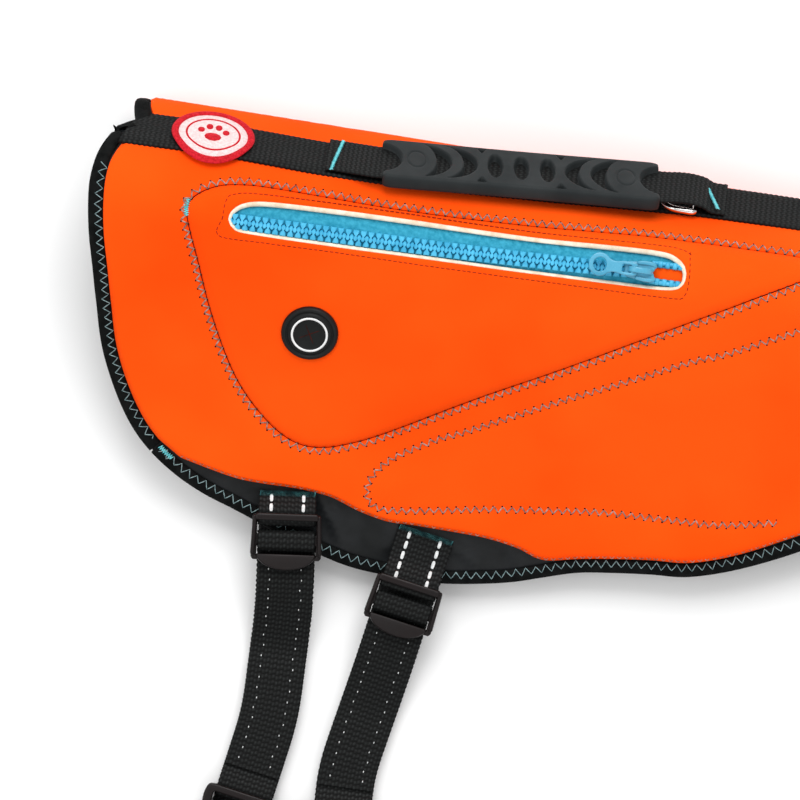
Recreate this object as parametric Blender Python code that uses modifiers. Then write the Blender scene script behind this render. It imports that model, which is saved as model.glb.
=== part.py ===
"""Dog life jacket, folded along its spine and lying on its far side.

Each half is cut flat and laid on one fold form.  A point of the cloth is named by x, its distance
along the spine from the tail, and v, its distance over the cloth from the fold's start: v grows
towards the near hem and falls round the fold towards the far hem.  Tables are in millimetres.
"""
import math

import bmesh
import bpy
import numpy as np
from mathutils import Matrix
from mathutils.geometry import delaunay_2d_cdt

MM = 0.001

# ---- driving sizes -------------------------------------------------------------------------
GAP = 0.3                 # clearance between pieces that touch
COVER = 2.2               # orange neoprene
PAD = 8.5                 # foam and black nylon, at its thickest
EDGE = 2.6                # foam and nylon pressed flat at the bound edge
BIND_WIDTH = 5.0          # binding seen from outside
BIND_WALL = 0.9
SPINE_TRIM = 1.6          # bindings stop this far from the spine's middle
WEBBING = 25.0            # webbing width
WEB_WALL = 1.5
CENTRE = (250.1, -184.0)  # plan point that becomes the origin
FLOOR = COVER + GAP       # height of the fold form over the floor, under the far half

# The fold form across the spine: v, and the tilt of the outward normal from straight up.
SECTION = [
    # v, tilt
    (-48.3, 180.0),
    (-16.0, 57.0),
    (15.0, 57.0),
    (49.0, -20.0),
    (95.0, -26.0),
    (125.0, -24.0),
    (150.0, -12.0),
    (175.0, -16.0),
    (205.0, -22.0),
]
FAR_END = -260.0
# The spine webbing's middle leaves the fold's line towards the neck.
SPINE = [
    # x, v
    (0.0, 8.0),
    (25.0, 7.0),
    (50.0, 6.2),
    (75.0, 7.0),
    (100.0, 8.0),
    (125.0, 7.8),
    (150.0, 6.2),
    (175.0, 4.2),
    (200.0, 1.8),
    (236.0, -2.5),
    (272.0, -6.0),
    (340.0, -7.5),
    (420.0, -8.5),
]
# The tail edge of the near half in plan, from the spine down to the notch where the flap starts.
TAIL = [
    # x, y below the fold's outline
    (10.4, -11.0),
    (6.4, -17.0),
    (2.9, -25.9),
    (1.5, -36.7),
    (2.3, -48.0),
    (4.5, -60.9),
    (8.0, -74.5),
    (12.0, -90.0),
    (17.0, -107.9),
    (24.7, -124.6),
    (34.0, -139.0),
    (44.5, -149.6),
]
# The hem: outer edge of the binding and lower edge of the orange cover.
HEM = [
    # x, binding y, cover y
    (57.0, -158.0, -150.5),
    (70.0, -164.1, -153.3),
    (83.0, -168.4, -155.6),
    (96.0, -173.0, -156.0),
    (109.0, -178.0, -155.9),
    (124.0, -182.6, -157.2),
    (137.0, -185.6, -161.5),
    (150.0, -186.7, -164.2),
    (163.0, -187.0, -164.0),
    (178.0, -186.6, -164.1),
    (194.0, -184.2, -164.5),
    (208.0, -181.2, -166.6),
    (220.0, -177.4, -170.0),
    (235.0, -172.8, -167.2),
    (250.0, -170.4, -164.8),
    (267.0, -168.4, -162.6),
    (284.0, -166.8, -161.0),
    (305.0, -160.0, -153.8),
    (330.0, -148.0, -141.4),
]
FOLD_SLIP = 13.0          # the far half lies this far towards the neck
# The front edge, from the hem up to the spine at the neck.
FRONT = [
    # x, y
    (352.0, -134.0),
    (371.0, -117.0),
    (386.0, -97.0),
    (397.0, -74.0),
    (403.0, -50.0),
    (403.5, -30.0),
    (400.0, -9.0),
]
# Seam of the inset pocket panel in plan, from the tail end of the zip round to it again.
POCKET = [
    # x, y
    (43.5, -43.0),
    (47.5, -37.0),
    (56.0, -32.3),
    (66.0, -30.4),
    (80.0, -29.9),
    (135.0, -30.6),
    (190.0, -28.6),
    (245.0, -25.2),
    (300.0, -24.0),
    (316.0, -25.0),
    (319.0, -28.5),
    (312.0, -33.5),
    (278.6, -51.4),
    (223.6, -82.1),
    (179.4, -105.8),
    (144.2, -125.9),
    (130.0, -132.8),
    (117.4, -136.8),
    (106.0, -136.6),
    (94.0, -130.6),
    (80.0, -117.9),
    (69.9, -103.8),
    (59.5, -84.0),
    (52.0, -66.0),
    (46.0, -52.0),
]
ZIP_START, ZIP_END = (63.0, -44.0), (257.5, -39.6)   # middle of the opening's two round ends
ZIP_BOW = 0.8                                        # the opening's middle bows towards the hem
ZIP_HALF = 5.9                                       # half of the opening's height
TAPE_HALF, TAPE_WALL = 8.5, 0.5
GROMMET_AT, GROMMET_R = (104.4, -87.0), 12.4
PATCH_X, PATCH_R = 49.6, 18.0
SLIDER = {"size": (13.0, 9.0, 4.4), "lift": 3.4}
# The pull tab turns about its own origin, close over the slider; "past" is how far it runs beyond that.
PULL = {"lift": 7.2, "half": 0.6, "round": 0.25, "past": 0.9}
GRIP = {"start": 124.0, "end": 244.5, "width": 31.0, "thick": 7.0}
LOCK = {"width": 30.5, "length": 24.0, "thick": 4.0, "window": 5.5}
# Each belly strap: the plan point and height of its adjuster, the adjuster's turn and the strap's.
STRAPS = [
    # name, x, y, height, lock turn, strap turn, turn at the buckle
    ("rear", 108.2, -179.5, 22.6, 7.0, 1.5, -9.0),
    ("front", 162.8, -200.5, 16.2, -9.0, -10.3, 4.0),
]
# Where an anchor webbing comes out at the cover's edge and crosses the hem: distance, height.
ANCHOR_RISE = {
    "rear": [(-20.4, 22.4), (-17.6, 23.8)],
    "front": [(-33.2, 18.9), (-27.0, 17.8), (-20.0, 17.4)],
}
BUCKLE = {"width": 34.0, "socket": 32.0, "plug": 24.0, "thick": 9.0, "low": 2.2}
BUCKLE_Y = -292.0          # plan y where a belly strap enters its buckle
LOOP_END = 82.0            # a belly strap turns back under itself this far past there
RUN, TAIL_RUN, RETURN = 3.5, 5.5, 1.1     # heights of a strap's three layers over the floor
CHEST = {"x": 379.0, "y": -107.5, "turn": 58.0, "buckle": 52.0, "end": 134.0}

COLOURS = {
    "orange": ((1.0, 0.09, 0.008), 0.75, 0.0),
    "nylon": ((0.012, 0.014, 0.014), 0.5, 0.0),
    "webbing": ((0.008, 0.01, 0.009), 0.8, 0.0),
    "rubber": ((0.045, 0.05, 0.052), 0.6, 0.0),
    "plastic": ((0.01, 0.008, 0.008), 0.4, 0.0),
    "zip": ((0.06, 0.42, 0.62), 0.45, 0.0),
    "steel": ((0.7, 0.7, 0.7), 0.2, 1.0),
    "patch": ((0.75, 0.5, 0.5), 0.7, 0.0),
}


# ---- the fold form -------------------------------------------------------------------------
def fold_form():
    """Walk over the section in small steps, turning by its tilt: plan y and height for each v."""
    v_table, tilt_table = np.array(SECTION).T
    v = np.arange(FAR_END, v_table[-1] + 30.0, 0.25)
    tilt = np.radians(np.interp(v, v_table, tilt_table))
    step_y = -np.cos((tilt[1:] + tilt[:-1]) / 2) * np.diff(v)
    step_z = np.sin((tilt[1:] + tilt[:-1]) / 2) * np.diff(v)
    y = np.concatenate([[0], np.cumsum(step_y)])
    z = np.concatenate([[0], np.cumsum(step_z)])
    return v, tilt, y - y.max(), z - z[0] + FLOOR


FORM_V, FORM_TILT, FORM_Y, FORM_Z = fold_form()
TOP = int(np.argmax(FORM_Y))
# Lines across which the laid cloth bends; between them it is flat.
BENDS = np.concatenate([
    np.linspace(-48.3, -16.0, 11), np.linspace(15.0, 49.0, 9),
    [65.0, 80.0, 95.0, 110.0, 125.0, 133.0, 141.0, 150.0, 162.0, 175.0, 190.0, 205.0],
])


def over(y):
    """The v of a near-half point from its plan y."""
    return np.interp(-np.asarray(y, float), -FORM_Y[TOP:], FORM_V[TOP:])


def spine(x):
    x_table, v_table = np.array(SPINE).T
    return np.interp(x, x_table, v_table)


def facets(v):
    """Place and outward normal on the fold form, straight between two bends."""
    stops = np.concatenate([[FAR_END], BENDS, [FORM_V[-1]]])
    y = np.interp(v, stops, np.interp(stops, FORM_V, FORM_Y))
    z = np.interp(v, stops, np.interp(stops, FORM_V, FORM_Z))
    tilt = np.interp(v, stops, np.interp(stops, FORM_V, FORM_TILT))
    return y, z, tilt


def place(x, v, lift):
    """World points of the cloth points x, v, moved out along the normal by lift."""
    y, z, tilt = facets(v)
    return np.stack([
        np.broadcast_to(x, y.shape) - CENTRE[0],
        y + lift * np.sin(tilt) - CENTRE[1],
        z + lift * np.cos(tilt),
    ], axis=-1) * MM


# ---- outlines ------------------------------------------------------------------------------
def smooth_line(points, spacing=9.0):
    """Catmull-Rom curve through the points, read at about the spacing."""
    points = np.asarray(points, float)
    padded = np.vstack([2 * points[0] - points[1], points, 2 * points[-1] - points[-2]])
    out = []
    for a, b, c, d in zip(padded, padded[1:], padded[2:], padded[3:]):
        count = max(1, int(np.linalg.norm(c - b) / spacing))
        t = (np.arange(count) / count)[:, None]
        out.append(0.5 * (2 * b + (c - a) * t + (2 * a - 5 * b + 4 * c - d) * t ** 2
                          + (3 * b - a - 3 * c + d) * t ** 3))
    return np.vstack(out + [points[-1:]])


def smooth_loop(points, spacing=9.0):
    """Closed Catmull-Rom curve through the points."""
    points = np.asarray(points, float)
    wide = np.vstack([points[-2:], points, points[:3]])
    line = smooth_line(wide, spacing)
    start = int(np.argmin(np.linalg.norm(line - points[0], axis=1)))
    ends = np.linalg.norm(line - points[0], axis=1)
    ends[:start + 3] = np.inf
    return line[start:int(np.argmin(ends))]


def unroll(plan):
    """Plan points of the near half as cloth points x, v."""
    plan = np.asarray(plan, float)
    return np.stack([plan[:, 0], over(plan[:, 1])], axis=1)


def inset(line, distance):
    """The line moved to the right of its direction of travel."""
    run = np.gradient(line, axis=0)
    run /= np.linalg.norm(run, axis=1)[:, None]
    return line + distance * np.stack([run[:, 1], -run[:, 0]], axis=1)


EDGE_LINE = unroll(smooth_line(TAIL + [row[:2] for row in HEM] + FRONT))
TAIL_COUNT = int(np.argmin(np.abs(EDGE_LINE - unroll([TAIL[-1]])[0]).sum(1)))
FRONT_COUNT = int(np.argmin(np.abs(EDGE_LINE - unroll([FRONT[0]])[0]).sum(1)))


def cover_edge(side):
    """Edge of the cover: just inside the binding at tail and neck, the table at the hem."""
    edge = half_edge(EDGE_LINE, side)
    near_spine = ease(1 - np.abs(edge[:, 1] - spine(edge[:, 0])) / 24.0)
    inner = inset(edge, side * (BIND_WIDTH + 0.5 + 2.5 * near_spine)[:, None])
    hem = turned_over(unroll(smooth_line([(row[0], row[2]) for row in HEM])), side)
    return np.vstack([inner[:TAIL_COUNT], hem, inner[FRONT_COUNT:]])


def half_outline(edge, side):
    """Close a half's edge along the spine."""
    edge = edge.copy()
    edge[[0, -1], 1] = spine(edge[[0, -1], 0]) + side * GAP / 2
    along = np.linspace(edge[-1, 0], edge[0, 0], 12)[1:-1]
    along = np.concatenate([[edge[-1, 0] - 8.0], along, [edge[0, 0] + 8.0]])
    return np.vstack([edge, np.stack([along, spine(along) + side * GAP / 2], 1)])


def turned_over(line, side):
    """The near half's line, or the far half's: turned over the spine and slipped to the neck."""
    line = line.copy()
    if side < 0:
        reach = line[:, 1] - spine(line[:, 0])
        line[:, 1] = spine(line[:, 0]) - reach
        line[:, 0] += FOLD_SLIP * ease(reach / 14.0)
    return line


def half_edge(edge, side):
    """A half's bound edge, starting and ending on the spine."""
    edge = edge.copy()
    edge[[0, -1], 1] = spine(edge[[0, -1], 0])
    return turned_over(edge, side)


def ease(t):
    """Smooth step from 0 to 1."""
    t = np.clip(t, 0.0, 1.0)
    return t * t * (3 - 2 * t)


def reach_to(points, line, closed=False):
    """Distance from each point to the nearest stretch of a line."""
    start, end = line[:-1], line[1:]
    if closed:
        start, end = line, np.roll(line, -1, 0)
    run = end - start
    part = ((points[:, None] - start) * run).sum(2) / np.maximum((run ** 2).sum(1), 1e-9)
    nearest = start + np.clip(part, 0, 1)[..., None] * run
    return np.linalg.norm(points[:, None] - nearest, axis=2).min(1)


def shrink(loop, distance):
    """A closed loop moved inwards; negative distances move it outwards."""
    run = np.roll(loop, -1, 0) - np.roll(loop, 1, 0)
    run /= np.linalg.norm(run, axis=1)[:, None]
    area = np.cross(loop, np.roll(loop, -1, 0)).sum() / 2
    return loop + np.sign(area) * distance * np.stack([-run[:, 1], run[:, 0]], axis=1)


def zip_middle(x):
    (x0, y0), (x1, y1) = ZIP_START, ZIP_END
    part = (np.asarray(x, float) - x0) / (x1 - x0)
    return y0 + (y1 - y0) * part - ZIP_BOW * 4 * part * (1 - part)


def slot(x_start, x_end, half, spacing=8.0):
    """A long opening with round ends round the zip's middle line."""
    count = int((x_end - x_start) / spacing)
    x = np.linspace(x_start, x_end, count)
    turn = np.radians(np.arange(30, 151, 30))
    upper = np.stack([x, zip_middle(x) + half], 1)
    lower = np.stack([x, zip_middle(x) - half], 1)[::-1]
    right = np.stack([x_end + half * np.sin(turn), zip_middle(x_end) + half * np.cos(turn)], 1)
    left = np.stack([x_start - half * np.sin(turn), zip_middle(x_start) - half * np.cos(turn)], 1)
    return np.vstack([upper, right, lower, left])


# ---- making solids -------------------------------------------------------------------------
def inside(points, loop):
    """Which points lie inside the closed loop: odd crossings of a line running out along x."""
    x, y = points[:, 0][:, None], points[:, 1][:, None]
    x0, y0 = loop[:, 0], loop[:, 1]
    x1, y1 = np.roll(x0, -1), np.roll(y0, -1)
    crosses = (y0 > y) != (y1 > y)
    at = x0 + (y - y0) * (x1 - x0) / np.where(y1 == y0, 1e-12, y1 - y0)
    return (crosses & (x < at)).sum(1) % 2 == 1


def cut_cloth(outline, holes=(), creases=(), bars=60.0):
    """Cut a flat piece into triangles, none of which crosses a bend of the fold form."""
    loops = [np.asarray(outline, float)] + [np.asarray(hole, float) for hole in holes]
    points, edges = [], []
    for loop in loops:
        first = len(points)
        points += loop.tolist()
        edges += [(first + i, first + (i + 1) % len(loop)) for i in range(len(loop))]
    for loop in creases:
        first = len(points)
        points += loop.tolist()
        edges += [(first + i, first + (i + 1) % len(loop)) for i in range(len(loop))]
    low, high = loops[0].min(0) - 5, loops[0].max(0) + 5
    for v in BENDS[(BENDS > low[1]) & (BENDS < high[1])]:
        edges.append((len(points), len(points) + 1))
        points += [(low[0], v), (high[0], v)]
    for x in np.arange(low[0] + bars / 2, high[0], bars):
        edges.append((len(points), len(points) + 1))
        points += [(x, low[1]), (x, high[1])]
    flat, _, faces, _, _, _ = delaunay_2d_cdt(points, edges, [], 0, 1e-3)
    flat = np.array([tuple(p) for p in flat])
    faces = np.array([tuple(f) for f in faces])
    middle = flat[faces].mean(1)
    keep = inside(middle, loops[0])
    for hole in loops[1:]:
        keep &= ~inside(middle, hole)
    faces = faces[keep]
    used, renumbered = np.unique(faces, return_inverse=True)
    return flat[used], renumbered.reshape(faces.shape)


def set_material(data, colour):
    """Give a mesh or curve its part's material, made the first time that it is asked for."""
    if bpy.data.materials.get(colour) is None:
        material = bpy.data.materials.new(colour)
        material.use_nodes = True
        shader = material.node_tree.nodes["Principled BSDF"]
        tint, roughness, metallic = COLOURS[colour]
        shader.inputs["Base Color"].default_value = (*tint, 1.0)
        shader.inputs["Roughness"].default_value = roughness
        shader.inputs["Metallic"].default_value = metallic
    data.materials.append(bpy.data.materials[colour])


def finish(mesh, name, colour, smooth=True):
    """Put a mesh into the jacket as a named piece."""
    set_material(mesh, colour)
    if smooth:
        mesh.shade_smooth()
        mesh.set_sharp_from_angle(angle=math.radians(35))
    piece = bpy.data.objects.new(name, mesh)
    JACKET.objects.link(piece)
    return piece


def shell(name, colour, flat, faces, lift, wall, outward=True, share=None):
    """Lay a cut piece on the fold form at its lift and give it its wall with Solidify."""
    lift = lift(flat) if callable(lift) else np.full(len(flat), lift)
    points = place(flat[:, 0], flat[:, 1], lift)
    mesh = bpy.data.meshes.new(name)
    mesh.from_pydata(points.tolist(), [], faces.tolist())
    # x, v run so that a face drawn anticlockwise in them looks into the fold: turn it over
    first = flat[faces]
    spin = np.cross(first[:, 1] - first[:, 0], first[:, 2] - first[:, 0])
    if spin.sum() > 0:
        mesh.flip_normals()
    piece = finish(mesh, name, colour)
    solid = piece.modifiers.new("wall", "SOLIDIFY")
    solid.thickness = wall * MM
    solid.offset = 1.0 if outward else -1.0
    solid.use_quality_normals = True
    if share is not None:
        group = piece.vertex_groups.new(name="padding")
        for index, weight in enumerate(share(flat)):
            group.add([index], float(weight), "REPLACE")
        solid.vertex_group = group.name
    return piece


def carried(name, colour, path, outward, normal, profile):
    """Carry a closed profile (offset outward, lift) along a path."""
    profile = np.asarray(profile, float) * MM
    rings = path[:, None] + outward[:, None] * profile[None, :, :1] + normal[:, None] * profile[None, :, 1:]
    return loft(name, colour, rings)


def loft(name, colour, rings):
    """Join rings of the same number of points into a closed body with flat ends."""
    count, sides = rings.shape[:2]
    builder = bmesh.new()
    verts = [[builder.verts.new(point) for point in ring] for ring in rings]
    for i in range(count - 1):
        here, after = verts[i], verts[i + 1]
        for j in range(sides):
            builder.faces.new((here[j], after[j], after[(j + 1) % sides], here[(j + 1) % sides]))
    builder.faces.new(verts[0])
    builder.faces.new(verts[-1][::-1])
    bmesh.ops.recalc_face_normals(builder, faces=builder.faces)
    bmesh.ops.triangulate(builder, faces=[f for f in builder.faces if len(f.verts) > 4])
    mesh = bpy.data.meshes.new(name)
    builder.to_mesh(mesh)
    builder.free()
    return finish(mesh, name, colour)


def run_of(path):
    run = np.gradient(path, axis=0)
    return run / np.linalg.norm(run, axis=1)[:, None]


def ribbon(name, colour, path, side, width, wall):
    """A flat strip: its middle follows the path, its width lies along side, its wall is centred."""
    run = run_of(path)
    normal = np.cross(side, run)
    normal /= np.linalg.norm(normal, axis=1)[:, None]
    half, deep = width / 2, wall / 2
    profile = [(-half, -deep), (half, -deep), (half, deep), (-half, deep)]
    return carried(name, colour, path, side, normal, profile)


def plan_points(points):
    """World points from plan x, y and height."""
    points = np.asarray(points, float)
    return (points - np.array([*CENTRE, 0.0])) * MM


def box_solid(name, colour, size, at, turn, bevel=0.0, tilt=0.0, segments=2):
    """A box from the cube primitive, scaled, turned about Z and tipped about its own X."""
    bpy.ops.mesh.primitive_cube_add(size=1.0)
    piece = bpy.context.object
    piece.name = piece.data.name = name
    piece.data.transform(matrix_of(size, (0, 0, 0), 0, 0))
    piece.data.transform(matrix_of((1 / MM, 1 / MM, 1 / MM), at, turn, tilt))
    mesh = piece.data
    bpy.data.objects.remove(piece)
    piece = finish(mesh, name, colour)
    if bevel:
        soft = piece.modifiers.new("soft edges", "BEVEL")
        soft.width = bevel * MM
        soft.segments = segments
    return piece


def matrix_of(scale, at, turn, tilt):
    from mathutils import Matrix
    sizes = Matrix.Diagonal((scale[0] * MM, scale[1] * MM, scale[2] * MM, 1.0))
    spin = Matrix.Rotation(math.radians(turn), 4, "Z") @ Matrix.Rotation(math.radians(tilt), 4, "X")
    return Matrix.Translation([c * MM for c in at]) @ spin @ sizes


# ---- the pieces ----------------------------------------------------------------------------
def padding_share(edge):
    """Share of the full padding: pressed flat at the edge line, full 25 mm inside it."""
    def share(flat):
        inner = ease((reach_to(flat, edge) - 3.5) / 25.0) * inside(flat, np.vstack([edge, edge[:1]]))
        return (EDGE + (PAD - EDGE) * inner) / PAD
    return share


def make_halves():
    pocket = unroll(smooth_loop(POCKET))
    for side, name in ((1, "near"), (-1, "far")):
        bound, lower = half_edge(EDGE_LINE, side), cover_edge(side)
        thin = shrink(half_outline(bound, side), BIND_WIDTH + 1.5)
        thin = thin[reach_to(thin, bound) > BIND_WIDTH + 1.2]
        thick = shrink(half_outline(lower, side), 28.0)
        flat, faces = cut_cloth(half_outline(bound, side), creases=[thin, thick])
        shell("lining_" + name, "nylon", flat, faces, 0.0, PAD, outward=False, share=padding_share(lower))
        holes = [shrink(pocket, -GAP / 2)] if side > 0 else []
        flat, faces = cut_cloth(half_outline(lower, side), holes)
        shell("cover_" + name, "orange", flat, faces, GAP, COVER)
        make_binding(bound, name)


def with_bends(line):
    """The line with a point added wherever it crosses a bend of the fold form."""
    out = [line[:1]]
    for a, b in zip(line, line[1:]):
        low, high = min(a[1], b[1]), max(a[1], b[1])
        crossed = BENDS[(BENDS > low + 0.3) & (BENDS < high - 0.3)]
        part = np.sort((crossed - a[1]) / (b[1] - a[1])) if len(crossed) else np.zeros(0)
        out.append(np.vstack([a + part[:, None] * (b - a), b]))
    return np.vstack(out)


def make_binding(edge, name):
    """Binding folded over the edge, in three lengths: tail, hem and neck."""
    wall, inner = BIND_WALL, EDGE + GAP
    profile = [(-BIND_WIDTH, GAP), (-BIND_WIDTH, GAP + wall), (0.5, GAP + wall), (1.2, 0.6),
               (1.2, -inner), (0.5, -inner - wall), (-BIND_WIDTH, -inner - wall), (-BIND_WIDTH, -inner),
               (GAP, -inner), (GAP, GAP)]
    stretches = {"tail": (0, TAIL_COUNT), "hem": (TAIL_COUNT, FRONT_COUNT),
                 "neck": (FRONT_COUNT, len(edge) - 1)}
    run = run_of(edge)
    turn = 1.0 if name == "near" else -1.0
    for stretch, (first, last) in stretches.items():
        line = edge[first:last + 1].copy()
        line[0] += run[first] * (SPINE_TRIM if first == 0 else 2 * GAP)
        line[-1] -= run[last] * (SPINE_TRIM if last == len(edge) - 1 else 2 * GAP)
        line = with_bends(line)
        along = run_of(line)
        away = np.stack([-along[:, 1], along[:, 0]], 1) * turn
        rings = []
        for out, lift in profile:
            at = line + away * out
            rings.append(place(at[:, 0], at[:, 1], np.full(len(line), lift)))
        loft("binding_%s_%s" % (stretch, name), "webbing", np.stack(rings, axis=1))


def make_pocket():
    pocket = unroll(smooth_loop(POCKET))
    raised = 2 * GAP + TAPE_WALL

    def lift(flat):
        return GAP + (raised - GAP) * ease(reach_to(flat, pocket, closed=True) / 3.5)

    opening = unroll(slot(ZIP_START[0], ZIP_END[0], ZIP_HALF))
    flat, faces = cut_cloth(shrink(pocket, 0.7), [opening], [shrink(pocket, 3.7)])
    shell("pocket_panel", "orange", flat, faces, lift, COVER)
    for side, name in ((1, "upper"), (-1, "lower")):
        x = np.linspace(ZIP_START[0] - 3, ZIP_END[0] + 3, 26)
        inner = np.stack([x, zip_middle(x) + side * GAP / 2], 1)
        outer = np.stack([x, zip_middle(x) + side * TAPE_HALF], 1)
        flat, faces = cut_cloth(unroll(np.vstack([inner, outer[::-1]])))
        shell("zip_tape_" + name, "zip", flat, faces, GAP, TAPE_WALL)


def surface_frame(x, v):
    """Turn of a rigid piece lying on the cloth: its own X along the spine, its own Z outward."""
    return -float(np.degrees(facets(v)[2]))


def make_zip_slider():
    x, y = 241.0, float(zip_middle(241.0))
    v = float(over(y))
    at = place(x, v, SLIDER["lift"]) / MM
    tip = surface_frame(x, v)
    box_solid("zip_slider", "zip", SLIDER["size"], at, 0, 1.0, tip)
    pull = place(x - 2.0, v, PULL["lift"])
    outline = bpy.data.curves.new("zip_pull", "CURVE")
    outline.dimensions = "2D"
    outline.fill_mode = "BOTH"
    outline.extrude = PULL["half"] * MM
    outline.bevel_depth = PULL["round"] * MM
    outline.bevel_resolution = 1
    tab = [(PULL["past"], 2.6), (-6.0, 2.6), (-10.0, 1.9), (-12.0, 3.0), (-15.0, 4.0), (-18.2, 2.9),
           (-19.4, 0.0)]
    tab = np.array(tab + [(a, -b) for a, b in tab[-2::-1]]) * MM
    turn = np.radians(np.arange(0, 360, 40))
    hole = np.stack([-15.2 + 1.9 * np.cos(turn), 1.6 * np.sin(turn)], 1) * MM
    for loop in (tab, hole):
        spline = outline.splines.new("POLY")
        spline.points.add(len(loop) - 1)
        for point, (a, b) in zip(spline.points, loop):
            point.co = (a, b, 0.0, 1.0)
        spline.use_cyclic_u = True
    draft = bpy.data.objects.new("draft", outline)
    JACKET.objects.link(draft)
    bpy.context.view_layer.update()
    mesh = bpy.data.meshes.new_from_object(draft.evaluated_get(bpy.context.evaluated_depsgraph_get()))
    bpy.data.objects.remove(draft)
    builder = bmesh.new()
    builder.from_mesh(mesh)
    bmesh.ops.remove_doubles(builder, verts=builder.verts, dist=1e-6)
    builder.to_mesh(mesh)
    builder.free()
    mesh.materials.clear()
    piece = finish(mesh, "zip_pull", "zip")
    piece.location = pull
    piece.rotation_euler = (math.radians(tip), 0.0, 0.0)


def turned(name, colour, profile, at, tip):
    """A turned piece: a profile of radius and height, spun with Screw, tipped to the cloth."""
    mesh = bpy.data.meshes.new(name)
    points = [(r * MM, 0.0, h * MM) for r, h in profile]
    mesh.from_pydata(points, [(i, i + 1) for i in range(len(points) - 1)], [])
    piece = finish(mesh, name, colour, smooth=False)
    spin = piece.modifiers.new("turn", "SCREW")
    spin.steps = spin.render_steps = 24
    spin.use_merge_vertices = True
    spin.merge_threshold = 1e-5
    piece.location = at
    piece.rotation_euler = (math.radians(tip), 0.0, 0.0)
    return piece


def make_grommet():
    x, y = GROMMET_AT
    v = float(over(y))
    r = GROMMET_R
    profile = [(0.0, 1.6), (6.5, 1.6), (7.3, 2.2), (r - 1.6, 2.2), (r - 0.3, 1.4), (r, 0.5), (r, 0.0),
               (0.0, 0.0)]
    turned("grommet", "rubber", profile, place(x, v, 4.15), surface_frame(x, v))


def make_spine_webbing():
    half = WEBBING / 2
    near = half_edge(EDGE_LINE, 1)
    far = half_edge(EDGE_LINE, -1)
    inside_binding = BIND_WIDTH + 0.8
    start_near = near[np.argmin(np.abs(near[:20, 1] - half)), 0] + inside_binding
    start_far = far[np.argmin(np.abs(far[:20, 1] + half)), 0] + inside_binding
    end = near[-1, 0] - inside_binding
    x = np.linspace(0.0, 1.0, 30)
    upper = start_far + (end + 4.0 - start_far) * x
    lower = start_near + (end - start_near) * x
    middle = near[0, 0] + inside_binding
    outline = np.vstack([
        np.stack([upper, spine(upper) - half], 1), np.stack([lower, spine(lower) + half], 1)[::-1],
        [(middle, spine(middle))],
    ])
    flat, faces = cut_cloth(outline)
    shell("spine_webbing", "webbing", flat, faces, 2 * GAP + COVER, WEB_WALL)
    turn = np.radians(np.arange(0, 360, 12))
    disc = np.stack([PATCH_X + PATCH_R * np.cos(turn), spine(PATCH_X) + 0.5 + PATCH_R * np.sin(turn)], 1)
    flat, faces = cut_cloth(disc)
    shell("patch", "patch", flat, faces, 3 * GAP + COVER + WEB_WALL, 1.4)


# Middle of the handle webbing, from its rear bar tack to its front one: how far it stands off the slope
# of the fold, and where it lies over the cloth.
HANDLE_RISE = [
    # x, lift, v
    (100.0, 5.4, 8.0),
    (106.0, 5.4, 8.0),
    (111.0, 6.2, 9.4),
    (116.0, 7.6, 11.6),
    (122.0, 8.5, 13.0),
    (129.0, 8.69, 12.38),
    (185.0, 10.23, 7.4),
    (240.0, 11.75, 2.52),
    (247.0, 11.94, 1.9),
    (252.0, 11.7, 0.2),
    (258.0, 10.5, -2.2),
    (264.0, 8.4, -4.2),
    (268.0, 5.9, -5.2),
    (274.0, 5.4, -6.1),
]


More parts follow.
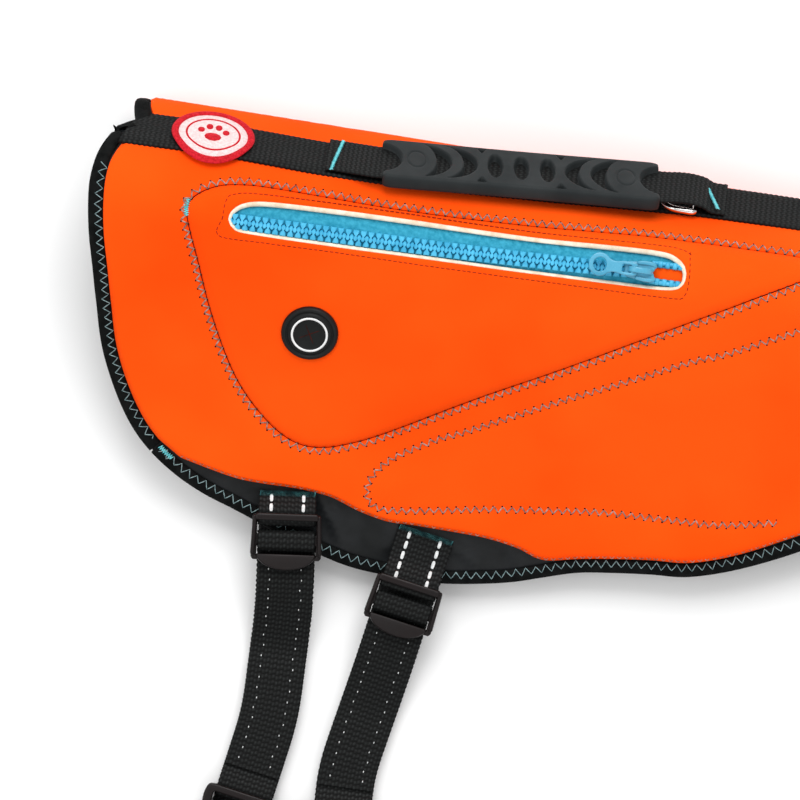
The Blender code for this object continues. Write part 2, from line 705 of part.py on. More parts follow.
def make_handle():
    tilt = math.radians(57.0)
    normal = np.array([0.0, math.sin(tilt), math.cos(tilt)])
    across = np.array([0.0, -math.cos(tilt), math.sin(tilt)])
    rise = smooth_line(HANDLE_RISE, 8.0)
    x = rise[:, 0]
    base = place(x, np.zeros_like(x), 0.0) + np.outer(rise[:, 2], across) * MM
    path = base + np.outer(rise[:, 1], normal) * MM
    ribbon("handle_webbing", "webbing", path, np.tile(-across, (len(path), 1)), WEBBING, WEB_WALL)

    def on_handle(at):
        return np.array([np.interp(at, x, path[:, i]) for i in range(3)])

    start, end = on_handle(GRIP["start"]), on_handle(GRIP["end"])
    run = (end - start) / np.linalg.norm(end - start)
    up = np.cross(across, run) * -1.0
    up = up if up @ normal > 0 else -up
    side = np.cross(up, run)
    length, wide, thick = GRIP["end"] - GRIP["start"], GRIP["width"], GRIP["thick"]
    half = wide / 2
    face = [(0.0, half - 3), (3.0, half - 0.6), (length / 2, half), (length - 3.0, half - 0.6),
            (length, half - 3)]
    face = np.array(face + [(a, -b) for a, b in face[::-1]])
    mesh = bpy.data.meshes.new("grip")
    mesh.from_pydata([(a * MM, b * MM, 0.0) for a, b in face], [], [tuple(range(len(face)))[::-1]])
    grip = finish(mesh, "grip", "rubber")
    body = grip.modifiers.new("body", "SOLIDIFY")
    body.thickness, body.offset = thick * MM, 0.0
    edges = grip.modifiers.new("soft edges", "BEVEL")
    edges.width, edges.segments = 1.2 * MM, 2
    frame = Matrix([list(run) + [0], list(side) + [0], list(up) + [0], [0, 0, 0, 1]]).transposed()
    grip.matrix_world = Matrix.Translation(start) @ frame
    channel = (length * 1.5, WEBBING + 2 * GAP, WEB_WALL + 3 * GAP)
    cutter = box_solid("grip_channel", "rubber", channel, (length / 2, 0, 0), 0)
    cutter.matrix_world = grip.matrix_world
    as_cutter(cutter, grip)

    # the ring lies on the spine webbing with its bar under the handle webbing's front end
    wire, inner, bar_x = 1.4, 14.2, 261.0
    lift = 3 * GAP + COVER + WEB_WALL + wire
    turn = np.radians(np.linspace(-80, 80, 17))
    loop = [(bar_x, -inner - 0.2), (bar_x, inner + 0.2)]
    loop += [(bar_x - 7.0 - 11.0 * math.cos(t), inner * math.sin(-t)) for t in turn[::1] * -1][::-1]
    curve = bpy.data.curves.new("d_ring", "CURVE")
    curve.dimensions = "3D"
    curve.bevel_depth, curve.bevel_resolution = wire * MM, 2
    spline = curve.splines.new("POLY")
    spline.points.add(len(loop) - 1)
    for point, (a, b) in zip(spline.points, loop):
        spot = place(np.array([a]), np.array([0.0]), lift)[0] + across * (b + float(spine(bar_x))) * MM
        point.co = (*spot, 1.0)
    spline.use_cyclic_u = True
    ring = bpy.data.objects.new("d_ring", curve)
    JACKET.objects.link(ring)
    set_material(curve, "steel")


def as_cutter(cutter, target):
    JACKET.objects.unlink(cutter)
    CUTTERS.objects.link(cutter)
    cutter.hide_render = True
    cutter.display_type = "WIRE"
    cut = target.modifiers.new(cutter.name, "BOOLEAN")
    cut.operation = "DIFFERENCE"
    cut.object = cutter


# ---- straps, adjusters and buckles ---------------------------------------------------------
COURSE_BACK = 90.0         # a course starts this far above its adjuster


def strap_course(at, turns):
    """Plan curve of a strap: straight past its adjuster, then swinging to its later directions."""
    s = np.arange(-COURSE_BACK, 260.0, 0.5)
    first, second, third = turns
    turn = first + (second - first) * ease((s - 14.0) / 30.0) + (third - second) * ease((s - 62.0) / 30.0)
    turn = np.radians(turn)
    step = np.stack([np.sin(turn), -np.cos(turn)], 1) * 0.5
    plan = np.cumsum(step, 0)
    plan += np.array(at) - plan[int(np.argmin(np.abs(s)))]

    def course(where):
        spot = np.stack([np.interp(where, s, plan[:, 0]), np.interp(where, s, plan[:, 1])], -1)
        angle = np.interp(where, s, turn)
        return spot, np.stack([-np.cos(angle), -np.sin(angle), np.zeros_like(angle)], -1)
    return course


def strap(name, course, points, base=0.0):
    """A strap from points of distance down its course and height."""
    path = smooth_line(points, 9.0)
    spot, side = course(path[:, 0])
    middle = plan_points(np.column_stack([spot, path[:, 1] + base]))
    ribbon(name, "webbing", middle, side, WEBBING, WEB_WALL)


def adjuster(name, at, turn):
    """Ladder lock: a frame with two windows."""
    at = (at[0] - CENTRE[0], at[1] - CENTRE[1], at[2])
    wide, long, thick = LOCK["width"], LOCK["length"], LOCK["thick"]
    lock = box_solid(name, "plastic", (wide, long, thick), at, turn)
    for index, middle in enumerate((5.25, -4.75)):
        window = box_solid("%s_window_%d" % (name, index), "plastic",
                           (WEBBING + 1.2, LOCK["window"], thick * 3), (0, 0, 0), 0)
        window.data.transform(matrix_of((1 / MM,) * 3, (0, middle, 0), 0, 0))
        window.data.transform(matrix_of((1 / MM,) * 3, at, turn, 0))
        as_cutter(window, lock)
    soft = lock.modifiers.new("soft edges", "BEVEL")
    soft.width, soft.segments = 0.8 * MM, 2


def buckle(name, course, start):
    """Fastened side-release buckle: the plug's web bar and shoulders, and the socket."""
    middle = BUCKLE["low"] + BUCKLE["thick"] / 2
    halves = (("plug", BUCKLE["plug"], 0.0), ("socket", BUCKLE["socket"], BUCKLE["plug"] + GAP))
    for part, length, offset in halves:
        spot, side = course(start + offset + length / 2)
        spot = spot - np.array(CENTRE)
        turn = math.degrees(math.atan2(-side[1], -side[0]))
        piece = box_solid("%s_%s" % (name, part), "plastic", (BUCKLE["width"], length, BUCKLE["thick"]),
                          (*spot, middle), turn)
        depth = 5.0
        end = 1 if part == "plug" else -1
        slot_cut = box_solid("%s_%s_slot" % (name, part), "plastic",
                             (WEBBING + 4 * GAP, 2 * depth, WEB_WALL + 4 * GAP), (0, end * length / 2, 0), 0)
        slot_cut.data.transform(matrix_of((1 / MM,) * 3, (*spot, middle), turn, 0))
        as_cutter(slot_cut, piece)
        soft = piece.modifiers.new("soft edges", "BEVEL")
        soft.width, soft.segments = 1.0 * MM, 2
    return middle


def edge_crossing(edge, course):
    """How far down a course the whole width of a strap clears an edge."""
    s = np.arange(-COURSE_BACK, 60.0, 0.5)
    plan = np.stack([edge[:, 0], facets(edge[:, 1])[0]], 1)
    crossings = []
    for share in (-0.5, 0.0, 0.5):
        spot, side = course(s)
        gap = reach_to(spot + side[:, :2] * WEBBING * share, plan)
        crossings.append(s[int(np.argmin(gap))])
    return max(crossings)


def make_straps():
    far = half_edge(EDGE_LINE, -1)[8:-8]
    for name, x, y, height, lock_turn, strap_turn, end_turn in STRAPS:
        course = strap_course((x, y), (lock_turn, strap_turn, end_turn))
        adjuster("adjuster_" + name, (x, y, height), lock_turn)
        strap("anchor_webbing_" + name, course, [
            *[(down, rise - height) for down, rise in ANCHOR_RISE[name]],
            (-14.0, 3.0), (-10.0, 3.1), (-7.2, 2.75), (-6.9, 0.0), (-7.2, -2.75), (-9.5, -3.1), (-12.0, -3.1),
        ], height)
        start = (y - BUCKLE_Y) / math.cos(math.radians(strap_turn))
        slot_height = BUCKLE["low"] + BUCKLE["thick"] / 2
        low, top = RUN - height, TAIL_RUN - height
        strap("belly_strap_" + name, course, [
            (start - 10.0, top), (start - 30.0, top), (58.0, top), (44.0, top + 0.4), (20.0, -4.2), (12.0, -3.1),
            (8.2, -3.1), (5.5, -2.2), (4.6, 0.0), (3.1, 2.5), (0.5, 3.1), (-1.2, 3.1), (-3.3, 2.8), (-3.8, 0.0),
            (-3.6, -2.6), (-2.2, -4.4), (0.5, -5.1), (8.0, -5.1), (13.0, -5.3), (20.0, -6.4), (43.0, low + 0.4),
            (58.0, low), (start - 24.0, low), (start - 12.0, low), (start - 3.0, slot_height - height),
            (start + 4.5, slot_height - height),
        ], height)
        buckle("belly_buckle_" + name, course, start)
        finish_s = start + BUCKLE["plug"] + BUCKLE["socket"] + GAP
        hem = edge_crossing(far, course)
        turn_at = start + LOOP_END
        strap("far_strap_" + name, course, [
            (finish_s - 4.5, slot_height), (finish_s + 3.0, slot_height), (turn_at - 4.0, slot_height),
            (turn_at - 0.8, (slot_height + RETURN) / 2 + 1.4), (turn_at, (slot_height + RETURN) / 2),
            (turn_at - 0.8, (slot_height + RETURN) / 2 - 1.4), (turn_at - 4.0, RETURN), (turn_at - 20.0, RETURN),
            (30.0, RETURN), (hem + 14.0, RETURN), (hem + 5.0, FLOOR), (hem + 1.6, FLOOR),
        ])


def make_chest_strap():
    course = strap_course((CHEST["x"], CHEST["y"]), [CHEST["turn"]] * 3)
    near = half_edge(EDGE_LINE, 1)[8:-8]
    far = half_edge(EDGE_LINE, -1)[8:-8]
    near_s = edge_crossing(near, course)
    far_s = edge_crossing(far, course)
    start_height = float(np.interp(CHEST["y"], FORM_Y[TOP:][::-1], FORM_Z[TOP:][::-1])) - EDGE / 2
    slot_height = BUCKLE["low"] + BUCKLE["thick"] / 2
    start, end = CHEST["buckle"], CHEST["end"]
    strap("chest_strap_near", course, [
        (near_s + 1.7, start_height), (near_s + 8.0, start_height - 2.0), (start - 16.0, slot_height + 4.0),
        (start - 6.0, slot_height + 0.4), (start + 4.5, slot_height),
    ])
    buckle("chest_buckle", course, start)
    finish_s = start + BUCKLE["plug"] + BUCKLE["socket"] + GAP
    strap("chest_strap_far", course, [
        (finish_s - 4.5, slot_height), (finish_s + 3.0, slot_height), (end - 4.0, slot_height),
        (end - 0.8, (slot_height + RETURN) / 2 + 1.4), (end, (slot_height + RETURN) / 2),
        (end - 0.8, (slot_height + RETURN) / 2 - 1.4), (end - 4.0, RETURN), (end - 20.0, RETURN),
        (far_s + 14.0, RETURN), (far_s + 5.0, FLOOR), (far_s + 1.6, FLOOR),
    ])


def main():
    make_halves()
    make_pocket()
    make_zip_slider()
    make_grommet()
    make_spine_webbing()
    make_handle()
    make_straps()
    make_chest_strap()


for thing in list(bpy.data.objects):
    bpy.data.objects.remove(thing)
JACKET = bpy.data.collections.new("dog_life_jacket")
CUTTERS = bpy.data.collections.new("cutters")
for group in (JACKET, CUTTERS):
    bpy.context.scene.collection.children.link(group)
main()
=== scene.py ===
"""Looks of the dog life jacket: orange neoprene, black nylon and webbing, a blue zip and a rubber grip.

The jacket is folded along its spine and lies on its far side.  A point of the cloth is named by x, its
distance along the spine from the tail, and v, its distance over the cloth from the fold: v grows towards
the near hem and falls round the fold towards the far hem.  Tables are in millimetres.
"""
import math

import bmesh
import bpy
import numpy as np
from mathutils import Matrix, Vector


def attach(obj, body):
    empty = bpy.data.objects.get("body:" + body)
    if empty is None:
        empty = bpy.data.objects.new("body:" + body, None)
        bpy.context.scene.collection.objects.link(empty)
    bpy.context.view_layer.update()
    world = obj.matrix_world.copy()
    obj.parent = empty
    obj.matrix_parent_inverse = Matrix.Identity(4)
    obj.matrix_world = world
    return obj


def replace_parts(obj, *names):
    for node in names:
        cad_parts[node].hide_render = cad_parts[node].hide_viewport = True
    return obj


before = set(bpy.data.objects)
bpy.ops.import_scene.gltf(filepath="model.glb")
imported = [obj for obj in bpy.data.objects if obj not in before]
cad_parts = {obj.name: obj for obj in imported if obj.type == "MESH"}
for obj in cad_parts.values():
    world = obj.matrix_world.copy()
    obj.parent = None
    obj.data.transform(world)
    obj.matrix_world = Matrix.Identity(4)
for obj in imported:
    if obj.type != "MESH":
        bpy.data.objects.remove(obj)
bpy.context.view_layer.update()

MM = 0.001
GAP, COVER, PAD, EDGE = 0.3, 2.2, 8.5, 2.6
BIND_WIDTH, BIND_WALL, SPINE_TRIM = 5.0, 0.9, 1.6
WEBBING, WEB_WALL = 25.0, 1.5
CENTRE = (250.1, -184.0)
FLOOR = COVER + GAP
FAR_END = -260.0
FOLD_SLIP = 13.0
JACKET = "jacket"

# The fold form across the spine: v, and the tilt of the outward normal from straight up.
SECTION = [
    (-48.3, 180.0), (-16.0, 57.0), (15.0, 57.0), (49.0, -20.0), (95.0, -26.0), (125.0, -24.0),
    (150.0, -12.0), (175.0, -16.0), (205.0, -22.0),
]
SPINE = [
    (0.0, 8.0), (25.0, 7.0), (50.0, 6.2), (75.0, 7.0), (100.0, 8.0), (125.0, 7.8), (150.0, 6.2), (175.0, 4.2),
    (200.0, 1.8), (236.0, -2.5), (272.0, -6.0), (340.0, -7.5), (420.0, -8.5),
]
TAIL = [
    (10.4, -11.0), (6.4, -17.0), (2.9, -25.9), (1.5, -36.7), (2.3, -48.0), (4.5, -60.9),
    (8.0, -74.5), (12.0, -90.0), (17.0, -107.9), (24.7, -124.6), (34.0, -139.0), (44.5, -149.6),
]
# The hem: x, outer edge of the binding, lower edge of the orange cover.
HEM = [
    (57.0, -158.0, -150.5), (70.0, -164.1, -153.3), (83.0, -168.4, -155.6), (96.0, -173.0, -156.0),
    (109.0, -178.0, -155.9), (124.0, -182.6, -157.2), (137.0, -185.6, -161.5), (150.0, -186.7, -164.2),
    (163.0, -187.0, -164.0), (178.0, -186.6, -164.1), (194.0, -184.2, -164.5), (208.0, -181.2, -166.6),
    (220.0, -177.4, -170.0), (235.0, -172.8, -167.2), (250.0, -170.4, -164.8), (267.0, -168.4, -162.6),
    (284.0, -166.8, -161.0), (305.0, -160.0, -153.8), (330.0, -148.0, -141.4),
]
FRONT = [
    (352.0, -134.0), (371.0, -117.0), (386.0, -97.0), (397.0, -74.0), (403.0, -50.0),
    (403.5, -30.0), (400.0, -9.0),
]
POCKET = [
    (43.5, -43.0), (47.5, -37.0), (56.0, -32.3), (66.0, -30.4), (80.0, -29.9), (135.0, -30.6),
    (190.0, -28.6), (245.0, -25.2), (300.0, -24.0), (316.0, -25.0), (319.0, -28.5), (312.0, -33.5),
    (278.6, -51.4), (223.6, -82.1), (179.4, -105.8), (144.2, -125.9), (130.0, -132.8), (117.4, -136.8),
    (106.0, -136.6), (94.0, -130.6), (80.0, -117.9), (69.9, -103.8), (59.5, -84.0), (52.0, -66.0),
    (46.0, -52.0),
]
# The stitched outline of the second pad, open towards the neck.
QUILT = [
    (330.0, -46.0), (300.0, -61.0), (281.0, -70.3), (271.5, -73.8), (245.4, -86.6), (218.0, -99.7),
    (179.7, -119.0), (168.6, -124.0), (157.3, -130.5), (149.7, -135.6), (144.0, -141.0), (140.4, -146.5),
    (139.4, -151.5), (141.0, -156.4), (146.0, -158.8), (155.0, -158.4), (173.5, -155.4), (192.4, -152.0),
    (217.4, -148.8), (242.0, -145.8), (267.3, -144.4), (293.1, -143.0), (318.0, -138.0),
]
ZIP_START, ZIP_END, ZIP_BOW, ZIP_HALF = (63.0, -44.0), (257.5, -39.6), 0.8, 5.9
TAPE_HALF = 10.2
GROMMET_AT, GROMMET_R = (104.4, -87.0), 12.4
PATCH_X, PATCH_R = 49.6, 18.0


# ---- the fold form -------------------------------------------------------------------------
def fold_form():
    """Walk over the section in small steps, turning by its tilt."""
    v_table, tilt_table = np.array(SECTION).T
    v = np.arange(FAR_END, v_table[-1] + 30.0, 0.25)
    tilt = np.radians(np.interp(v, v_table, tilt_table))
    half = (tilt[1:] + tilt[:-1]) / 2
    y = np.concatenate([[0], np.cumsum(-np.cos(half) * np.diff(v))])
    z = np.concatenate([[0], np.cumsum(np.sin(half) * np.diff(v))])
    return v, tilt, y - y.max(), z - z[0] + FLOOR


FORM_V, FORM_TILT, FORM_Y, FORM_Z = fold_form()
TOP = int(np.argmax(FORM_Y))


def over(y):
    return np.interp(-np.asarray(y, float), -FORM_Y[TOP:], FORM_V[TOP:])


def spine(x):
    x_table, v_table = SPINE_LINE.T
    return np.interp(x, x_table, v_table)


def place(x, v, lift):
    """World points of cloth points x, v (arrays of one shape), moved out along the normal by lift."""
    x, v, lift = np.broadcast_arrays(np.asarray(x, float), np.asarray(v, float), np.asarray(lift, float))
    y = np.interp(v, FORM_V, FORM_Y)
    z = np.interp(v, FORM_V, FORM_Z)
    tilt = np.interp(v, FORM_V, FORM_TILT)
    return np.stack([x - CENTRE[0], y + lift * np.sin(tilt) - CENTRE[1], z + lift * np.cos(tilt)], -1) * MM


def normal_at(v):
    tilt = np.interp(v, FORM_V, FORM_TILT)
    return np.stack([np.zeros_like(tilt), np.sin(tilt), np.cos(tilt)], -1)


# ---- lines ---------------------------------------------------------------------------------
def smooth_line(points, spacing=2.0):
    """Catmull-Rom curve through the points."""
    points = np.asarray(points, float)
    padded = np.vstack([2 * points[0] - points[1], points, 2 * points[-1] - points[-2]])
    out = []
    for a, b, c, d in zip(padded, padded[1:], padded[2:], padded[3:]):
        count = max(2, int(np.linalg.norm(c - b) / spacing))
        t = (np.arange(count) / count)[:, None]
        out.append(0.5 * (2 * b + (c - a) * t + (2 * a - 5 * b + 4 * c - d) * t ** 2
                          + (3 * b - a - 3 * c + d) * t ** 3))
    return np.vstack(out + [points[-1:]])


def even(line, spacing=None, count=None, closed=False):
    """The line read again at equal steps of its length."""
    line = np.vstack([line, line[:1]]) if closed else line
    length = np.concatenate([[0], np.cumsum(np.linalg.norm(np.diff(line, axis=0), axis=1))])
    count = count or max(2, int(round(length[-1] / spacing)) + (0 if closed else 1))
    at = np.linspace(0, length[-1], count, endpoint=not closed)
    return np.stack([np.interp(at, length, line[:, k]) for k in range(line.shape[1])], 1)


def smooth_loop(points):
    points = np.asarray(points, float)
    line = smooth_line(np.vstack([points[-2:], points, points[:3]]))
    near = np.linalg.norm(line - points[0], axis=1)
    first = int(np.argmin(near[:len(near) // 2]))
    last = len(near) // 2 + int(np.argmin(near[len(near) // 2:]))
    return line[first:last]


def unroll(plan):
    plan = np.asarray(plan, float)
    return np.stack([plan[:, 0], over(plan[:, 1])], 1)


def run_of(path):
    run = np.gradient(path, axis=0)
    return run / np.maximum(np.linalg.norm(run, axis=-1, keepdims=True), 1e-12)


def ease(t):
    t = np.clip(t, 0.0, 1.0)
    return t * t * (3 - 2 * t)


def reach_to(points, line, closed=False):
    """Distance from points (any shape, 2) to the nearest stretch of a line."""
    shape = points.shape[:-1]
    points = points.reshape(-1, 2)
    start, end = (line, np.roll(line, -1, 0)) if closed else (line[:-1], line[1:])
    run = end - start
    size = np.maximum((run ** 2).sum(1), 1e-9)
    out = np.empty(len(points))
    for first in range(0, len(points), 20000):
        chunk = points[first:first + 20000, None]
        part = np.clip(((chunk - start) * run).sum(2) / size, 0, 1)
        out[first:first + 20000] = np.linalg.norm(chunk - start - part[..., None] * run, axis=2).min(1)
    return out.reshape(shape)


def turned_over(line, side):
    """The near half's line, or the far half's: turned over the spine and slipped to the neck."""
    line = line.copy()
    if side < 0:
        reach = line[:, 1] - spine(line[:, 0])
        line[:, 1] = spine(line[:, 0]) - reach
        line[:, 0] += FOLD_SLIP * ease(reach / 14.0)
    return line


SPINE_LINE = smooth_line(SPINE)
EDGE_LINE = unroll(smooth_line(TAIL + [row[:2] for row in HEM] + FRONT))
TAIL_COUNT = int(np.argmin(np.abs(EDGE_LINE - unroll([TAIL[-1]])[0]).sum(1)))
FRONT_COUNT = int(np.argmin(np.abs(EDGE_LINE - unroll([FRONT[0]])[0]).sum(1)))
POCKET_LINE = even(unroll(smooth_loop(POCKET)), 2.5, closed=True)
QUILT_LINE = unroll(smooth_line(QUILT))


def half_edge(side):
    """Outer edge of one half, from the spine at the tail round to the spine at the neck."""
    edge = EDGE_LINE.copy()
    edge[[0, -1], 1] = spine(edge[[0, -1], 0])
    below = edge[:, 1] > spine(edge[:, 0]) + 2.0
    first, last = int(np.argmax(below)), len(edge) - 1 - int(np.argmax(below[::-1]))
    edge[:first + 1] = np.linspace(edge[0], edge[first], first + 1)
    edge[last:] = np.linspace(edge[last], edge[-1], len(edge) - last)
    return turned_over(edge, side)


def cover_edge(side):
    """Edge of the cover: just inside the binding at tail and neck, the table at the hem."""
    edge = half_edge(side)
    run = run_of(edge)
    reach = BIND_WIDTH + 0.5 + 2.5 * ease(1 - np.abs(edge[:, 1] - spine(edge[:, 0])) / 24.0)
    inner = edge + side * reach[:, None] * np.stack([run[:, 1], -run[:, 0]], 1)
    hem = turned_over(unroll(smooth_line([(row[0], row[2]) for row in HEM])), side)
    return np.vstack([inner[:TAIL_COUNT], hem, inner[FRONT_COUNT:]])


# ---- putting surfaces into meshes ----------------------------------------------------------
def mesh_of(name, points, quads, material, uv=None, body=JACKET, height=None):
    """A mesh object from world points and faces, smooth shaded, riding on its body."""
    quads = quads if isinstance(quads, list) else [quads]
    mesh = bpy.data.meshes.new(name)
    mesh.vertices.add(len(points))
    mesh.vertices.foreach_set("co", np.ascontiguousarray(points, np.float32).ravel())
    sizes = np.concatenate([np.full(len(group), group.shape[1]) for group in quads])
    loops = np.concatenate([group.ravel() for group in quads])
    mesh.loops.add(len(loops))
    mesh.loops.foreach_set("vertex_index", loops.astype(np.int32))
    mesh.polygons.add(len(sizes))
    mesh.polygons.foreach_set("loop_start", np.concatenate([[0], np.cumsum(sizes)[:-1]]).astype(np.int32))
    mesh.polygons.foreach_set("loop_total", sizes.astype(np.int32))
    mesh.polygons.foreach_set("use_smooth", np.ones(len(sizes), bool))
    if uv is not None:
        layer = mesh.uv_layers.new(name="UVMap")
        layer.data.foreach_set("uv", np.ascontiguousarray(uv[loops], np.float32).ravel())
    if height is not None:
        mesh.attributes.new("height", "FLOAT", "POINT").data.foreach_set("value", height.astype(np.float32))
    mesh.update()
    mesh.validate()
    mesh.materials.append(material)
    piece = bpy.data.objects.new(name, mesh)
    bpy.context.scene.collection.objects.link(piece)
    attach(piece, body)
    return piece


def grid_faces(rows, columns, wrap_rows=False, wrap_columns=False, start=0):
    """Quads of a grid of rows and columns, each joined to the next, and round again where it wraps."""
    r = np.arange(rows if wrap_rows else rows - 1)
    c = np.arange(columns if wrap_columns else columns - 1)
    r, c = np.meshgrid(r, c, indexing="ij")
    r1, c1 = (r + 1) % rows, (c + 1) % columns
    return start + np.stack([r * columns + c, r * columns + c1, r1 * columns + c1, r1 * columns + c], -1).reshape(-1, 4)


def outward(points, faces):
    """Turn the faces of a closed body over if they enclose a negative volume."""
    a, b, c = points[faces[:, 0]], points[faces[:, 1]], points[faces[:, 2]]
    volume = (a * np.cross(b, c)).sum()
    if faces.shape[1] == 4:
        d = points[faces[:, 3]]
        volume += (a * np.cross(c, d)).sum()
    return faces if volume > 0 else faces[:, ::-1]


def tube(name, rings, material, uv=None, body=JACKET, wrap=False):
    """A body whose rings (ring, point, 3) follow each other, closed by flat ends unless it wraps."""
    count, sides = rings.shape[:2]
    points = rings.reshape(-1, 3)
    faces = grid_faces(count, sides, wrap, True)
    if not wrap:
        middle = np.stack([rings[0].mean(0), rings[-1].mean(0)])
        first = np.arange(sides)
        last = (count - 1) * sides + first
        cap = lambda ring, hub: np.stack([ring, np.roll(ring, -1), np.full(sides, hub)], 1)
        triangles = np.vstack([cap(first, len(points))[:, ::-1], cap(last, len(points) + 1)])
        points = np.vstack([points, middle])
        a, b, c, d = (points[faces[:, k]] for k in range(4))
        if (a * np.cross(b, c)).sum() + (a * np.cross(c, d)).sum() < 0:
            faces, triangles = faces[:, ::-1], triangles[:, ::-1]
        if uv is not None:
            uv = np.vstack([uv.reshape(-1, 2), uv[0].mean(0), uv[-1].mean(0)])
        return mesh_of(name, points, [faces, triangles], material, uv, body)
    faces = outward(points, faces)
    return mesh_of(name, points, faces, material, None if uv is None else uv.reshape(-1, 2), body)


def patch_body(name, top, under, material, uv=None, height=None):
    """A wall between two grids of one shape, with a rim round all four sides."""
    rings = np.concatenate([top, under[:, ::-1]], axis=1)
    ring_uv = None if uv is None else np.concatenate([uv, uv[:, ::-1]], axis=1)
    count, sides = rings.shape[:2]
    points = rings.reshape(-1, 3)
    faces = grid_faces(count, sides, False, True)
    width = top.shape[1]
    ends = []
    for row in (0, count - 1):
        near = row * sides + np.arange(width)
        far = row * sides + sides - 1 - np.arange(width)
        quad = np.stack([near[:-1], near[1:], far[1:], far[:-1]], 1)
        ends.append(quad if row == 0 else quad[:, ::-1])
    faces = outward(points, np.vstack([faces] + ends))
    if height is not None:
        height = np.concatenate([height, height[:, ::-1]], axis=1).ravel()
    return mesh_of(name, points, faces, material, None if uv is None else ring_uv.reshape(-1, 2), JACKET, height)


def flat_turn(line):
    """Signed area of a closed line: its sign tells which way the line turns."""
    return -0.5 * (line[:, 0] * np.roll(line[:, 1], -1) - line[:, 1] * np.roll(line[:, 0], -1)).sum()


# ---- materials -----------------------------------------------------------------------------
def material_of(name, colour, roughness, metallic=0.0, sheen=0.0, coat=0.0, shine=0.15):
    material = bpy.data.materials.new(name)
    material.use_nodes = True
    nodes, links = material.node_tree.nodes, material.node_tree.links
    shader = nodes["Principled BSDF"]
    shader.inputs["Base Color"].default_value = (*colour, 1.0)
    shader.inputs["Roughness"].default_value = roughness
    shader.inputs["Metallic"].default_value = metallic
    shader.inputs["Sheen Weight"].default_value = sheen
    shader.inputs["Coat Weight"].default_value = coat
    shader.inputs["Specular IOR Level"].default_value = shine
    return material, nodes, links, shader


def noise_of(nodes, links, where, scale, detail=3.0, roughness=0.55):
    noise = nodes.new("ShaderNodeTexNoise")
    noise.inputs["Scale"].default_value = scale
    noise.inputs["Detail"].default_value = detail
    noise.inputs["Roughness"].default_value = roughness
    links.new(where, noise.inputs["Vector"])
    return noise.outputs["Fac"]


def mixed(nodes, links, factor, low, high):
    mix = nodes.new("ShaderNodeMix")
    mix.data_type = "RGBA"
    links.new(factor, mix.inputs[0])
    for socket, colour in ((mix.inputs[6], low), (mix.inputs[7], high)):
        if isinstance(colour, tuple):
            socket.default_value = (*colour, 1.0)
        else:
            links.new(colour, socket)
    return mix.outputs[2]


def ramped(nodes, links, factor, low, high, start, end):
    ramp = nodes.new("ShaderNodeMapRange")
    links.new(factor, ramp.inputs["Value"])
    for name, value in (("From Min", start), ("From Max", end), ("To Min", low), ("To Max", high)):
        ramp.inputs[name].default_value = value
    return ramp.outputs["Result"]


def bumped(nodes, links, shader, height, distance):
    bump = nodes.new("ShaderNodeBump")
    bump.inputs["Strength"].default_value = 1.0
    bump.inputs["Distance"].default_value = distance
    links.new(height, bump.inputs["Height"])
    links.new(bump.outputs["Normal"], shader.inputs["Normal"])


def mottled(name, dark, light, roughness, grain, depth, scale=40.0, spread=(0.35, 0.65), **more):
    """Cloth or rubber: colour drifting between two tones, roughness with it, and a fine grain."""
    material, nodes, links, shader = material_of(name, light, roughness, **more)
    where = nodes.new("ShaderNodeTexCoord").outputs["Object"]
    drift = ramped(nodes, links, noise_of(nodes, links, where, scale), 0.0, 1.0, *spread)
    links.new(mixed(nodes, links, drift, dark, light), shader.inputs["Base Color"])
    links.new(ramped(nodes, links, drift, roughness + 0.05, roughness - 0.05, 0.0, 1.0), shader.inputs["Roughness"])
    bumped(nodes, links, shader, noise_of(nodes, links, where, grain, 4.0, 0.6), depth)
    return material


def woven(name, hollow, crest, roughness, shine):
    """Webbing: painted shade between the ribs, painted highlight on their crests, after the height kept on the mesh."""
    material, nodes, links, shader = material_of(name, crest, roughness, shine=shine)
    height = nodes.new("ShaderNodeAttribute")
    height.attribute_name = "height"
    where = nodes.new("ShaderNodeTexCoord").outputs["Object"]
    fibre = noise_of(nodes, links, where, 1500.0, 2.0)
    # fibre noise mixes the painted shade tone and the painted highlight tone at random
    fibre_glint = mixed(nodes, links, ramped(nodes, links, fibre, 0.0, 1.0, 0.3, 0.7), hollow, crest)
    crests = ramped(nodes, links, height.outputs["Fac"], 0.0, 1.0, 0.35, 0.95)
    # hollows get the painted shade colour, crests the fibre-mixed painted highlight
    links.new(mixed(nodes, links, crests, hollow, fibre_glint), shader.inputs["Base Color"])
    links.new(ramped(nodes, links, height.outputs["Fac"], 0.85, roughness, 0.0, 1.0), shader.inputs["Roughness"])
    bumped(nodes, links, shader, fibre, 0.00006)
    return material


ORANGE = mottled("orange neoprene", (0.96, 0.068, 0.0015), (1.0, 0.088, 0.003), 0.9, 2400.0, 0.00007, 11.0, shine=0.08)
NYLON = mottled("black nylon", (0.0035, 0.0045, 0.005), (0.0085, 0.01, 0.0115), 0.45, 3000.0, 0.00003, 60.0,
                shine=0.22)
BINDING = mottled("black binding", (0.0025, 0.003, 0.003), (0.006, 0.0065, 0.0065), 0.85, 2600.0, 0.00012, 220.0,
                  shine=0.08)
PLASTIC = mottled("black moulded plastic", (0.0045, 0.0026, 0.0026), (0.008, 0.0046, 0.0046), 0.38, 1800.0,
                  0.00002, 60.0, shine=0.22)
RUBBER = mottled("grey rubber", (0.014, 0.017, 0.018), (0.021, 0.0245, 0.0255), 0.6, 1500.0, 0.00002, 50.0,
                 shine=0.16)
BLACK_RUBBER = mottled("black rubber", (0.004, 0.0048, 0.0048), (0.008, 0.009, 0.009), 0.5, 1500.0, 0.00002, 50.0,
                       shine=0.18)
WHITE_RING = mottled("white ring", (0.75, 0.76, 0.76), (0.88, 0.88, 0.88), 0.6, 1500.0, 0.00001, 90.0)
ZIP_BLUE = mottled("blue zip teeth", (0.035, 0.36, 0.6), (0.08, 0.5, 0.76), 0.35, 1500.0, 0.00002, 200.0, shine=0.4)
